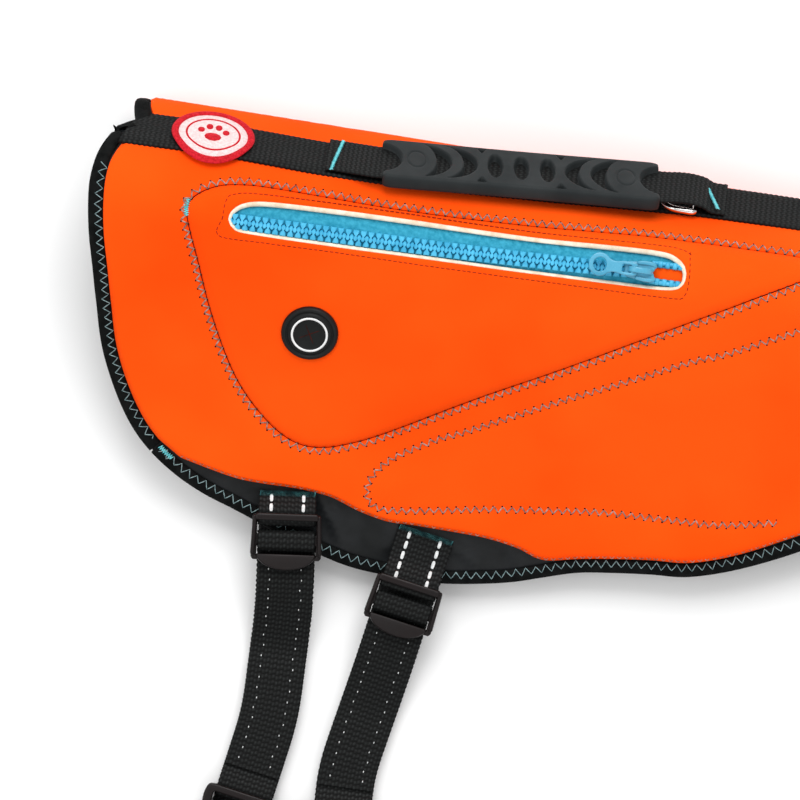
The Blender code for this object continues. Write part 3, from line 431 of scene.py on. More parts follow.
PULL_BLUE = mottled("painted zip pull", (0.05, 0.3, 0.46), (0.09, 0.38, 0.56), 0.3, 900.0, 0.00002, 120.0, shine=0.4,
                    coat=0.1)
TAPE_BLUE = mottled("blue zip tape", (0.02, 0.25, 0.38), (0.045, 0.36, 0.52), 0.85, 2500.0, 0.0001, 500.0)
STEEL = mottled("bright steel", (0.62, 0.6, 0.58), (0.8, 0.79, 0.77), 0.16, 900.0, 0.00001, 200.0, metallic=1.0,
                shine=0.5)
CREAM = mottled("cut neoprene edge", (0.74, 0.6, 0.44), (0.9, 0.8, 0.66), 0.9, 2200.0, 0.0001, 250.0)
THREAD_GREY = mottled("grey thread", (0.16, 0.085, 0.06), (0.42, 0.3, 0.25), 0.7, 4000.0, 0.00004, 500.0)
THREAD_PALE = mottled("pale green thread", (0.1, 0.16, 0.17), (0.3, 0.42, 0.43), 0.7, 4000.0, 0.00004, 700.0)
THREAD_RED = mottled("dark red thread", (0.12, 0.006, 0.002), (0.3, 0.015, 0.004), 0.8, 4000.0, 0.00004, 700.0)
THREAD_CYAN = mottled("cyan thread", (0.08, 0.45, 0.5), (0.2, 0.66, 0.7), 0.6, 4000.0, 0.00004, 700.0)
THREAD_TEAL = mottled("teal thread", (0.008, 0.06, 0.07), (0.06, 0.25, 0.26), 0.7, 4000.0, 0.00004, 400.0)
# dark pads in this colour are painted shade, standing in for the dark inside of each needle hole and slit
PAINTED_HOLE_SHADE = mottled("needle hole shade", (0.02, 0.003, 0.001), (0.06, 0.006, 0.002), 0.9, 2000.0, 0.00004, 300.0)
SILVER = mottled("reflective thread", (0.55, 0.57, 0.57), (0.8, 0.82, 0.82), 0.5, 3000.0, 0.00006, 900.0)
# first colour: painted shade in the hollows between ribs; second: painted highlight where the rib beads catch light
WEB = woven("black webbing", (0.0008, 0.001, 0.001), (0.019, 0.023, 0.0225), 0.5, 0.2)
BADGE_RED = mottled("badge rim", (0.4, 0.004, 0.01), (0.62, 0.012, 0.025), 0.75, 3000.0, 0.00012, 900.0)
BADGE_FIELD = mottled("badge field", (0.72, 0.5, 0.5), (0.84, 0.68, 0.67), 0.8, 3000.0, 0.00012, 900.0)


# ---- cloth ---------------------------------------------------------------------------------
def waves(x, v):
    """Slow unevenness of the padded cloth: a few crossing waves of unlike lengths."""
    return (0.55 * np.sin(x / 31.0 + v / 47.0 + 0.7) * np.sin(v / 39.0 - x / 83.0)
            + 0.35 * np.sin(x / 17.0 - v / 29.0 + 2.1) * np.sin(v / 23.0 + 1.3)
            + 0.12 * np.sin(x / 7.3 + v / 11.0) * np.sin(v / 6.1 - x / 19.0))


def relief(x, v):
    """How far the orange cloth stands off its form: troughs along the seams, pads swelling beside them."""
    at = np.stack([x, v], -1)
    pocket = reach_to(at, POCKET_LINE, closed=True)
    quilt = reach_to(at, QUILT_LINE)
    height = waves(x, v) * 0.8
    height += 0.9 * (1 - np.exp(-(pocket / 9.0) ** 2)) - 0.35 * np.exp(-(pocket / 1.6) ** 2)
    height += 1.1 * (1 - np.exp(-(quilt / 10.0) ** 2)) - 0.45 * np.exp(-(quilt / 1.6) ** 2)
    return height - 1.6


def loop_by_angle(line, centre, angles):
    """Where rays from a centre at the given angles meet a closed line."""
    offset = line - centre
    angle = np.unwrap(np.arctan2(offset[:, 1], offset[:, 0]))
    if angle[-1] < angle[0]:
        angle, line = angle[::-1], line[::-1]
    start = angle[0]
    wrapped = start + (angles - start) % (2 * math.pi)
    angle = np.append(angle, angle[0] + 2 * math.pi)
    line = np.vstack([line, line[:1]])
    return np.stack([np.interp(wrapped, angle, line[:, k]) for k in range(2)], 1)


def half_outline(edge, side):
    along = np.linspace(edge[-1, 0], edge[0, 0], 160)
    edge = edge.copy()
    edge[[0, -1], 1] = spine(edge[[0, -1], 0])
    return np.vstack([edge, np.stack([along, spine(along) + side * GAP / 2], 1)[1:-1]])


def ring_between(inner, outer, steps):
    """Cloth points between two loops with matching points, closer together near both loops."""
    s = np.linspace(0, 1, steps)
    s = 0.5 * (s + ease(s))
    return inner[None] * (1 - s[:, None, None]) + outer[None] * s[:, None, None]


def ring_body(name, grid, top_lift, under_lift, material):
    """A wall over a ring of cloth points: outer face and under face, joined round both rims."""
    x, v = grid[..., 0], grid[..., 1]
    top = place(x, v, top_lift)
    under = place(x, v, np.minimum(top_lift - 0.9, under_lift))
    rows = np.concatenate([top, under[::-1]])
    uv = np.concatenate([grid, grid[::-1]]) * MM
    return tube(name, rows, material, uv, wrap=True)


def make_near_cover():
    """Orange cover of the near half: a ring of cloth between the pocket seam and its own edge."""
    centre = np.array([165.0, float(over(-75.0))])
    angles = np.linspace(0, 2 * math.pi, 900, endpoint=False)
    outline = half_outline(cover_edge(1), 1)
    weights = loop_by_angle(outline, centre, angles)
    # share the rays out evenly round the outline
    length = np.concatenate([[0], np.cumsum(np.linalg.norm(np.diff(np.vstack([weights, weights[:1]]), axis=0), axis=1))])
    angles = np.interp(np.linspace(0, length[-1], 540, endpoint=False), length, np.append(angles, 2 * math.pi))
    outer = loop_by_angle(outline, centre, angles)
    inner = loop_by_angle(grow(POCKET_LINE, 0.15), centre, angles)
    grid = ring_between(inner, outer, 42)
    x, v = grid[..., 0], grid[..., 1]
    rim = reach_to(grid, outline, closed=True)
    inner_rim = reach_to(grid, inner, closed=True)
    lift = GAP + COVER + relief(x, v)
    lift += 1.5 * rim_roll(rim) * ease((v - 60) / 40) - 0.9 * np.exp(-(rim / 1.2) ** 2) - 0.5 * np.exp(-(inner_rim / 0.5) ** 2)
    piece = ring_body("orange_cover_near", grid, lift, GAP + 0.1, ORANGE)
    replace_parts(piece, "cover_near")
    return outline


def rim_roll(rim):
    """The padded lower edge stands proud just inside the cut."""
    return ease(rim / 2.0) * np.exp(-(rim / 14.0) ** 2)


def grow(loop, distance):
    """A closed line moved outwards, by one distance or one for each point."""
    distance = np.reshape(distance, (-1, 1))
    run = np.roll(loop, -1, 0) - np.roll(loop, 1, 0)
    run /= np.linalg.norm(run, axis=1)[:, None]
    area = (loop[:, 0] * np.roll(loop[:, 1], -1) - loop[:, 1] * np.roll(loop[:, 0], -1)).sum()
    return loop - np.sign(area) * distance * np.stack([-run[:, 1], run[:, 0]], 1)


# The zip's opening, as the cut shows it, and the middle of the closed teeth in it.
OPENING = [
    (63.0, -45.0), (64.8, -41.6), (69.7, -38.9), (80.0, -37.4), (105.0, -36.4), (135.7, -35.7), (191.0, -34.9),
    (227.7, -33.2), (247.0, -32.6), (254.5, -33.4), (259.2, -36.4), (260.4, -40.6), (258.6, -44.0),
    (252.0, -45.4), (234.6, -46.1), (190.0, -47.3), (146.4, -48.0), (105.0, -48.8), (75.0, -49.1), (66.0, -48.5),
]
TEETH = [(58.0, -46.0), (70.0, -45.7), (117.0, -44.8), (155.0, -43.9), (196.0, -42.5), (225.0, -41.1), (243.0, -39.9), (268.0, -39.3)]


def teeth_y(x):
    return np.interp(x, *smooth_line(TEETH).T)


def opening_line(with_edge=False):
    """The opening as a closed line; with_edge adds the cut edge's width, widest along the upper side."""
    line = even(unroll(smooth_loop(OPENING)), 1.2, closed=True)
    if not with_edge:
        return line
    run = run_of(np.vstack([line[-2:], line, line[:2]]))[2:-2]
    up = run[:, 0] * np.sign((line[:, 0] * np.roll(line[:, 1], -1) - line[:, 1] * np.roll(line[:, 0], -1)).sum())
    return grow(line, 0.75 + 0.4 * up)


def matched(inner, outer, count):
    """Two loops read at matching points: each point of the outer loop finds its place on the inner one."""
    outer = even(outer, count=count, closed=True)
    inner = even(inner, count=count * 4, closed=True)
    share = np.linspace(0, 1, len(inner), endpoint=False)
    nearest = np.array([np.argmin(((inner - point) ** 2).sum(1)) for point in outer])
    place_on = np.unwrap(share[nearest] * 2 * math.pi)
    if place_on[-1] < place_on[0]:
        outer, place_on = outer[::-1], place_on[::-1]
    place_on = np.maximum.accumulate(place_on)
    kernel = np.hanning(61)
    kernel /= kernel.sum()
    drift = place_on - np.linspace(0, 2 * math.pi, count, endpoint=False)
    drift = np.convolve(np.concatenate([drift[-30:], drift, drift[:30]]), kernel, "valid")
    at = (np.linspace(0, 2 * math.pi, count, endpoint=False) + drift) / (2 * math.pi) % 1.0
    closed = np.vstack([inner, inner[:1]])
    spots = np.linspace(0, 1, len(closed))
    return np.stack([np.interp(at, spots, closed[:, k]) for k in range(2)], 1), outer


def make_pocket_panel():
    opening = opening_line(True)
    inner, outer = matched(opening, grow(POCKET_LINE, -0.3), 560)
    grid = ring_between(inner, outer, 38)
    x, v = grid[..., 0], grid[..., 1]
    seam = reach_to(grid, POCKET_LINE, closed=True)
    lip = reach_to(grid, opening, closed=True)
    lift = GAP + COVER + relief(x, v) + 0.8 * ease(seam / 5.0) - 0.4 * np.exp(-(seam / 0.7) ** 2)
    lift -= 0.5 * np.exp(-(lip / 0.9) ** 2)
    piece = ring_body("orange_pocket_panel", grid, lift, GAP + 0.1 + 0.8 * ease(seam / 5.0), ORANGE)
    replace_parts(piece, "pocket_panel")


def half_grid(edge, columns, rows, side):
    """Cloth points of a whole half: each column runs from the spine to a point of the edge."""
    edge = even(edge, count=columns)
    share = np.linspace(0, 1, columns)
    x = edge[0, 0] + (edge[-1, 0] - edge[0, 0]) * share
    start = np.stack([x, spine(x) + side * GAP / 2], 1)
    s = np.linspace(0, 1, rows)[:, None, None]
    return start[None] * (1 - s) + edge[None] * s


def make_far_cover():
    edge = cover_edge(-1)[1:-1]
    grid = half_grid(edge, 150, 40, -1)
    x, v = grid[..., 0], grid[..., 1]
    rim = reach_to(grid, edge)
    lift = GAP + COVER - 0.9 * np.exp(-(rim / 1.2) ** 2)
    top = place(x, v, lift)
    piece = patch_body("orange_cover_far", top, place(x, v, GAP + 0.1), ORANGE, grid * MM)
    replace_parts(piece, "cover_far")
    outline = half_outline(cover_edge(-1), -1)


def make_lining(side, name):
    """Padded black nylon half: thin at the bound edge and in the flap below the cover."""
    edge, lower = half_edge(side), cover_edge(side)
    grid = half_grid(edge[1:-1], *((290, 76) if side > 0 else (150, 40)), side)
    x, v = grid[..., 0], grid[..., 1]
    below = reach_to(grid, lower)
    inside = signed_inside(grid, lower)
    flap = ease((BIND_WIDTH - reach_to(grid, edge)) / BIND_WIDTH)
    crease = 0.0
    if side > 0:
        crease = flap_creases(x, v) * ease(reach_to(grid, edge) / 6.0 - 0.6) * (1 - inside * ease(below / 6.0))
    full = EDGE + (PAD - EDGE) * ease((below - 3.5) / 25.0) * inside
    channels = 0.5 * np.sin(x / 9.0) * np.sin(v / 12.0) * ease(below / 20.0) * inside
    top = place(x, v, crease)
    under = place(x, v, -full + channels * 0.6 + crease * 0.5)
    piece = patch_body("padded_lining_" + name, top, under, NYLON, grid * MM)
    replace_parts(piece, "lining_" + name)
    outline = half_outline(edge, side)


def signed_inside(points, edge):
    """1 inside the closed line, 0 outside."""
    shape = points.shape[:-1]
    flat = points.reshape(-1, 2)
    x0, y0 = edge[:, 0], edge[:, 1]
    x1, y1 = np.roll(x0, -1), np.roll(y0, -1)
    out = np.empty(len(flat))
    for first in range(0, len(flat), 20000):
        x, y = flat[first:first + 20000, :1], flat[first:first + 20000, 1:]
        crosses = (y0 > y) != (y1 > y)
        at = x0 + (y - y0) * (x1 - x0) / np.where(y1 == y0, 1e-12, y1 - y0)
        out[first:first + 20000] = (crosses & (x < at)).sum(1) % 2
    return out.reshape(shape)


# Soft folds of the thin flap: where each starts and ends in plan, how wide and how high it is.
FLAP_FOLDS = [
    # x0, y0, x1, y1, width, height
    (62.0, -155.0, 84.0, -163.0, 3.0, 0.9),
    (80.0, -160.0, 97.0, -170.0, 2.4, -0.7),
    (88.0, -157.0, 104.0, -160.0, 2.0, 0.8),
    (121.0, -160.0, 132.0, -176.0, 2.2, 1.1),
    (126.0, -162.0, 140.0, -172.0, 2.6, -0.8),
    (132.0, -166.0, 150.0, -176.0, 3.4, 1.0),
    (138.0, -166.0, 156.0, -182.0, 2.4, -0.9),
    (176.0, -168.0, 192.0, -176.0, 3.0, 1.0),
    (184.0, -168.0, 205.0, -171.0, 2.4, -0.7),
    (204.0, -170.0, 214.0, -175.0, 2.0, 0.8),
]


def flap_creases(x, v):
    total = np.zeros_like(x)
    at = np.stack([x, v], -1)
    for x0, y0, x1, y1, width, height in FLAP_FOLDS:
        line = unroll([(x0, y0), ((x0 + x1) / 2 + 1.0, (y0 + y1) / 2), (x1, y1)])
        total += 1.5 * height * np.exp(-(reach_to(at, line) / (0.8 * width)) ** 2)
    return total


# ---- bindings ------------------------------------------------------------------------------
def make_bindings():
    inner = EDGE + GAP
    legs = [(-BIND_WIDTH, GAP), (-BIND_WIDTH, GAP + BIND_WALL), (-3.0, GAP + BIND_WALL + 0.25),
            (-0.6, GAP + BIND_WALL), (0.8, GAP + 0.3), (1.35, -0.6), (1.35, -inner + 0.6), (0.8, -inner - 0.4),
            (-0.6, -inner - BIND_WALL), (-3.0, -inner - BIND_WALL - 0.1), (-BIND_WIDTH, -inner - BIND_WALL),
            (-BIND_WIDTH, -inner), (GAP, -inner), (GAP, GAP)]
    profile = np.array(legs)
    for side, half in ((1, "near"), (-1, "far")):
        edge = half_edge(side)
        count = len(edge)
        stretches = {"tail": (0, TAIL_COUNT), "hem": (TAIL_COUNT, FRONT_COUNT), "neck": (FRONT_COUNT, count - 1)}
        for stretch, (first, last) in stretches.items():
            line = even(edge[first:last + 1], 1.6)
            line[0] += run_of(line)[0] * (SPINE_TRIM if first == 0 else 2 * GAP)
            line[-1] -= run_of(line)[-1] * (SPINE_TRIM if last == count - 1 else 2 * GAP)
            run = run_of(line)
            away = np.stack([-run[:, 1], run[:, 0]], 1) * side
            spots = line[:, None] + away[:, None] * profile[None, :, :1]
            lift = np.broadcast_to(profile[:, 1], spots.shape[:2])
            pucker = 0.12 * np.sin(np.arange(len(line)) * 1.1)[:, None] * (profile[:, 0] > -4.5) * np.sign(lift)
            rings = place(spots[..., 0], spots[..., 1], lift + pucker * (lift > 0.5))
            node = "binding_%s_%s" % (stretch, half)
            piece = tube("edge_" + node, rings, BINDING)
            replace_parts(piece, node)


# ---- threads -------------------------------------------------------------------------------
def thread(name, path, normal, radius, material, sides=5):
    """A thin round thread along a path of world points."""
    run = run_of(path)
    side = np.cross(normal, run)
    side /= np.maximum(np.linalg.norm(side, axis=1)[:, None], 1e-9)
    up = np.cross(run, side)
    turn = np.linspace(0, 2 * math.pi, sides, endpoint=False)
    rings = path[:, None] + radius * MM * (np.cos(turn)[None, :, None] * side[:, None]
                                           + np.sin(turn)[None, :, None] * up[:, None])
    return tube(name, rings, material)


def cloth_lift(x, v):
    """Height of the near cover and pocket panel, with the padded swell above the lower edge."""
    rim = reach_to(np.stack([x, v], -1), cover_edge(1))
    return GAP + COVER + relief(x, v) + 1.5 * rim_roll(rim) * ease((v - 60) / 40)


def zigzag(name, line, width, pitch, lift_at, radius, material, shift=0.0):
    """Zigzag stitches: the thread swings from side to side and dips into the cloth at each turn."""
    line = even(line, pitch / 8)
    run = run_of(line)
    beside = np.stack([-run[:, 1], run[:, 0]], 1)
    phase = np.arange(len(line)) / 8.0
    swing = 2 * np.abs(2 * (phase % 1) - 1) - 1
    uneven = 1 + 0.12 * np.sin(phase * 2.3) + 0.08 * np.sin(phase * 5.1)
    spots = line + beside * (swing * width / 2 * uneven + shift)[:, None]
    arch = 1 - np.abs(swing) ** 4
    lift = lift_at(spots[:, 0], spots[:, 1]) + radius * (1.7 * arch - 0.9)
    return thread(name, place(spots[:, 0], spots[:, 1], lift), normal_at(spots[:, 1]), radius, material)


def make_stitches():
    edge = cover_edge(1)
    pocket = np.vstack([POCKET_LINE, POCKET_LINE[:2]])
    outside = 1.3 * np.sign(flat_turn(POCKET_LINE))
    zigzag("pocket_zigzag", pocket, 2.6, 4.0, cloth_lift, 0.34, THREAD_GREY, outside)
    # the dark pads beside each zigzag are painted shade of its needle holes
    pricks("pocket_hole_shade", pocket, 2.6, 4.0, outside)
    zigzag("pad_zigzag", QUILT_LINE, 2.6, 4.0, cloth_lift, 0.34, THREAD_GREY)
    pricks("pad_hole_shade", QUILT_LINE, 2.6, 4.0)
    bound = half_edge(1)
    on_binding = lambda x, v: np.full_like(x, GAP + BIND_WALL + 0.28)
    for stretch, first, last in (("tail", 9, TAIL_COUNT - 1), ("hem", TAIL_COUNT + 1, FRONT_COUNT), ("neck", FRONT_COUNT, len(bound) - 4)):
        line = even(bound[first:last], 2.0)
        run = run_of(line)
        line = line - 3.3 * np.stack([-run[:, 1], run[:, 0]], 1)
        zigzag("binding_zigzag_" + stretch, line, 3.2, 4.4, on_binding, 0.2, THREAD_PALE)
    hem = unroll(smooth_line([(row[0], row[2]) for row in HEM]))
    run = run_of(hem)
    inner = hem - 1.3 * np.stack([-run[:, 1], run[:, 0]], 1)
    on_rim = lambda x, v: GAP + COVER + relief(x, v) + 0.5
    zigzag("cover_hem_zigzag", inner, 1.6, 3.2, on_rim, 0.16, THREAD_GREY)
    return edge


def tiles(name, centre, along, up, size, rise, material, body=JACKET, square=0.5, sides=10):
    """Many small pads in one mesh: stacked outlines between round and square that shrink into a crown."""
    count = len(centre)
    turn = np.linspace(0, 2 * math.pi, sides, endpoint=False)
    outline = np.stack([np.cos(turn), np.sin(turn)], 1)
    outline = np.sign(outline) * np.abs(outline) ** square
    levels = np.array([(1.0, -0.8), (1.0, 0.3), (0.86, 0.75), (0.45, 1.0)])
    size = np.broadcast_to(np.asarray(size, float), (count, 2)) / 2
    across = np.cross(up, along)
    flat = levels[:, :1, None] * outline[None]
    points = (centre[:, None, None] + along[:, None, None] * (flat[None, ..., :1] * size[:, None, None, :1] * MM)
              + across[:, None, None] * (flat[None, ..., 1:] * size[:, None, None, 1:] * MM)
              + up[:, None, None] * (levels[None, :, None, 1:] * rise * MM))
    each = len(levels) * sides
    start = (np.arange(count) * each)[:, None, None]
    walls = (start + grid_faces(len(levels), sides, False, True)[None]).reshape(-1, 4)
    caps = np.stack([np.arange(sides)[::-1], each - sides + np.arange(sides)])
    caps = (start + caps[None]).reshape(-1, sides)
    return mesh_of(name, points.reshape(-1, 3), [walls, caps], material, body=body)


def along_cloth(spots, run, lift):
    """Centres, directions and normals of small things laid on the cloth at spots (x, v)."""
    centre = place(spots[:, 0], spots[:, 1], lift)
    ahead = place(spots[:, 0] + run[:, 0], spots[:, 1] + run[:, 1], lift) - centre
    ahead /= np.linalg.norm(ahead, axis=1)[:, None]
    return centre, ahead, normal_at(spots[:, 1])


def dashes(name, line, pitch, size, lift_at, material, rise=0.3, shift=0.0):
    """Straight stitches: pads one pitch apart, each laid along the line."""
    line = even(line, pitch)
    run = run_of(line)
    line = line + shift * np.stack([-run[:, 1], run[:, 0]], 1)
    centre, ahead, up = along_cloth(line, run, lift_at(line[:, 0], line[:, 1]))
    return tiles(name, centre, ahead, up, size, rise, material, square=0.8)


def pricks(name, line, width, pitch, shift=0.0):
    """Painted shade of each needle hole: dark pads where the zigzag turns, on both sides of its line by turns."""
    line = even(line, pitch / 2)
    run = run_of(line)
    beside = np.stack([-run[:, 1], run[:, 0]], 1)
    swing = np.where(np.arange(len(line)) % 2 == 0, 1.0, -1.0)
    spots = line + beside * (swing * width / 2 * 1.12 + shift)[:, None]
    centre, ahead, up = along_cloth(spots, run, cloth_lift(spots[:, 0], spots[:, 1]) + 0.02)
    tiles(name, centre, ahead, up, (0.95, 0.75), 0.1, PAINTED_HOLE_SHADE, square=1.0, sides=6)


# ---- zip -----------------------------------------------------------------------------------
TOOTH = [
    # half width, distance from the middle: from the foot on the tape to the round head
    (1.3, 3.1), (1.3, 2.1), (0.95, 1.45), (0.5, 0.95), (0.58, 0.55), (0.92, 0.2), (0.98, -0.35), (0.7, -0.95),
    (0.25, -1.25),
]
TOOTH_PITCH, CLOSED_TO = 3.3, 236.5


def make_tapes():
    x = np.linspace(ZIP_START[0] - 3, ZIP_END[0] + 5, 180)
    for side, name in ((1, "upper"), (-1, "lower")):
        parted = 2.4 * ease((x - 240.0) / 10.0)
        across = np.linspace(GAP / 2, TAPE_HALF, 18)
        y = teeth_y(x)[:, None] + side * np.maximum(across[None], parted[:, None])
        v = over(y)
        ribs = 0.1 * np.abs(np.sin(x[:, None] * math.pi / 1.1)) * (0.6 + 0.4 * np.sin(across[None] * 7.0))
        wide = x[:, None] + 0 * y
        piece = patch_body("blue_tape_" + name, place(wide, v, GAP + 0.45 + ribs), place(wide, v, GAP), TAPE_BLUE)
        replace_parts(piece, "zip_tape_" + name)
    x, v = np.meshgrid(np.linspace(243.0, 262.5, 12), np.linspace(-1, 1, 8), indexing="ij")
    v = over(teeth_y(x) - 5.0 * v)
    patch_body("orange_pocket_lining", place(x, v, 0.24), place(x, v, 0.05), ORANGE)


def make_teeth():
    """Moulded teeth: one outline with a round head and a wide foot, repeated along both rows."""
    half = np.array(TOOTH)
    outline = np.vstack([half, half[::-1] * [-1, 1]])
    sides = len(outline)
    inset = outline * [0.72, 0.86] + [0.0, 0.1]
    levels = [(outline, 0.0), (outline, 0.75), (inset, 1.0)]
    shape = np.stack([np.column_stack([flat, np.full(sides, z)]) for flat, z in levels])
    walls = grid_faces(len(levels), sides, False, True)
    caps = np.stack([np.arange(sides)[::-1], 2 * sides + np.arange(sides)])
    points, order, first = [], [], 0
    for side in (1, -1):
        x = np.arange(ZIP_START[0] - 1.5 + (0 if side > 0 else TOOTH_PITCH / 2), CLOSED_TO, TOOTH_PITCH)
        a = x[:, None, None] + shape[None, ..., 0]
        b = teeth_y(a) + side * shape[None, ..., 1]
        points.append(place(a, over(b), GAP + 0.5 + shape[None, ..., 2] * 1.9).reshape(-1, 3))
        for part in (walls, caps):
            turned = part if side < 0 else part[:, ::-1]
            start = first + np.arange(len(x))[:, None, None] * 3 * sides
            order.append((start + turned[None]).reshape(-1, part.shape[1]))
        first += len(x) * 3 * sides
    piece = mesh_of("zip_teeth_closed", np.concatenate(points), order, ZIP_BLUE)
    piece.data.polygons.foreach_set("use_smooth", np.zeros(len(piece.data.polygons), bool))
    # past the slider the rows part, and each tooth shows as a block on its cord
    spots, sizes = [], []
    for side in (1, -1):
        x = np.array([249.2, 252.4, 255.6, 258.2]) + (0.4 if side > 0 else 0.0)
        spots.append(np.stack([x, over(teeth_y(x) + side * 3.6)], 1))
        sizes.append(np.tile([2.3, 3.0], (len(x), 1)))
    spots = np.vstack(spots)
    centre, ahead, up = along_cloth(spots, np.tile([1.0, 0.0], (len(spots), 1)), 1.3)
    tiles("zip_teeth_open", centre, ahead, up, np.vstack(sizes), 1.3, ZIP_BLUE, square=0.45)
    for side, name in ((1, "upper"), (-1, "lower")):
        x = np.linspace(246.0, 260.0, 30)
        v = over(teeth_y(x) + side * 4.0)
        thread("zip_cord_" + name, place(x, v, 1.3), normal_at(v), 0.95, ZIP_BLUE, 10)


def local_axes(x, v):
    """Own X along the spine, own Y up the cloth towards the fold, own Z out of the cloth."""
    out = normal_at(np.array([v]))[0]
    ahead = np.array([1.0, 0.0, 0.0])
    return ahead, np.cross(out, ahead), out


def plate(name, loops, half, soft, at, axes, material, body=JACKET):
    """A flat piece with rounded rims: outlines filled, thickened both ways and set on its own axes."""
    outline = bpy.data.curves.new(name, "CURVE")
    outline.dimensions, outline.fill_mode = "2D", "BOTH"
    outline.extrude, outline.bevel_depth, outline.bevel_resolution = half * MM, soft * MM, 3
    outline.offset = -soft * MM
    for loop in loops:
        spline = outline.splines.new("POLY")
        spline.points.add(len(loop) - 1)
        spline.points.foreach_set("co", np.column_stack([np.asarray(loop) * MM, np.zeros(len(loop)), np.ones(len(loop))]).ravel())
        spline.use_cyclic_u = True
    draft = bpy.data.objects.new("draft", outline)
    bpy.context.scene.collection.objects.link(draft)
    bpy.context.view_layer.update()
    mesh = bpy.data.meshes.new_from_object(draft.evaluated_get(bpy.context.evaluated_depsgraph_get()))
    bpy.data.objects.remove(draft)
    frame_of = Matrix([list(axis) + [0.0] for axis in axes] + [[0, 0, 0, 1]]).transposed()
    mesh.transform(Matrix.Translation(Vector(at)) @ frame_of)
    welded(mesh)
    mesh.materials.clear()
    mesh.materials.append(material)
    mesh.shade_smooth()
    mesh.set_sharp_from_angle(angle=math.radians(40))
    piece = bpy.data.objects.new(name, mesh)
    bpy.context.scene.collection.objects.link(piece)
    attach(piece, body)
    return piece


def welded(mesh):
    builder = bmesh.new()
    builder.from_mesh(mesh)
    bmesh.ops.remove_doubles(builder, verts=builder.verts, dist=1e-6)
    bmesh.ops.recalc_face_normals(builder, faces=builder.faces)
    builder.to_mesh(mesh)
    builder.free()


def mirrored_outline(points, spacing=0.6):
    """A closed outline from its upper half, given left to right or right to left."""
    upper = smooth_line(points, spacing)
    return np.vstack([upper, upper[::-1][1:-1] * [1, -1]])


def rounded_box(x0, x1, y0, y1, corner, steps=6):
    """Rectangle with round corners."""
    turn = np.linspace(0, math.pi / 2, steps)
    arcs = []
    for index, (cx, cy) in enumerate(((x1 - corner, y1 - corner), (x0 + corner, y1 - corner),
                                      (x0 + corner, y0 + corner), (x1 - corner, y0 + corner))):
        arcs.append(np.stack([cx + corner * np.cos(turn + index * math.pi / 2),
                              cy + corner * np.sin(turn + index * math.pi / 2)], 1))
    return np.vstack(arcs)


def ellipse(x, y, rx, ry, count=40):
    turn = np.linspace(0, 2 * math.pi, count, endpoint=False)
    return np.stack([x + rx * np.cos(turn), y + ry * np.sin(turn)], 1)


def bar(name, points, wide, high, at, axes, material, body=JACKET, sides=14):
    """A bar with a rounded oblong section carried along points of its own axes."""
    path = smooth_line(points, 0.5)
    run = run_of(path)
    flat = np.cross(np.array([0.0, 0.0, 1.0]), run)
    flat /= np.linalg.norm(flat, axis=1)[:, None]
    lift = np.cross(run, flat)
    turn = np.linspace(0, 2 * math.pi, sides, endpoint=False)
    c, s = np.cos(turn), np.sin(turn)
    section = np.stack([np.sign(c) * np.abs(c) ** 0.55 * wide / 2, np.sign(s) * np.abs(s) ** 0.55 * high / 2], 1)
    taper = np.minimum(1.0, 0.55 + 0.45 * np.sqrt(np.minimum(np.arange(len(path)), np.arange(len(path))[::-1]) / 2.0))
    rings = path[:, None] + taper[:, None, None] * (section[None, :, :1] * flat[:, None] + section[None, :, 1:] * lift[:, None])
    rings = np.array(at) + (rings * MM) @ np.array(axes)
    return tube(name, rings, material, body=body)


def make_slider():
    x = 241.0
    v = float(over(teeth_y(x)))
    axes = local_axes(x, v)
    seat = lambda lift: place(x, v, lift)
    body = mirrored_outline([(-6.7, 0.0), (-6.5, 2.0), (-5.2, 3.3), (-1.0, 3.9), (2.6, 4.5), (5.2, 4.4), (6.9, 3.2), (6.5, 1.2), (5.9, 0.0)])
    piece = plate("zip_slider_body", [body], 1.3, 0.9, seat(3.4), axes, PULL_BLUE)
    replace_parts(piece, "zip_slider")
    bar("zip_slider_bridge", [(-4.6, 0, 5.2), (-4.0, 0, 7.4), (-2.2, 0, 8.75), (0.4, 0, 8.95), (2.8, 0, 8.3), (4.6, 0, 6.9),
                              (5.6, 0, 5.0)], 2.5, 1.0, seat(0.0), axes, PULL_BLUE)
    for side in (1, -1):
        bar("zip_slider_wing_%s" % ("upper" if side > 0 else "lower"),
            [(-1.5, 3.2 * side, 5.4), (2.5, 3.6 * side, 5.9), (5.6, 3.4 * side, 5.6), (7.0, 2.2 * side, 4.6)], 1.7, 1.3, seat(0.0),
            axes, PULL_BLUE)
    hinge = place(x - 2.0, v, 7.2)
    tab = mirrored_outline([(1.0, 0.0), (0.8, 2.2), (-0.6, 2.9), (-5.0, 3.0), (-7.6, 2.5), (-9.6, 2.5), (-11.4, 3.2), (-13.0, 4.5),
                            (-15.2, 5.1), (-17.4, 4.6), (-19.2, 3.0), (-20.0, 1.2), (-20.1, 0.0)])
    pull = plate("zip_pull_tab", [tab, ellipse(-15.3, 0.0, 2.9, 3.1), rounded_box(-5.6, -1.5, -1.7, 1.7, 0.6)], 0.35, 0.5,
                 hinge, axes, PULL_BLUE, "zip_pull")
    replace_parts(pull, "zip_pull")


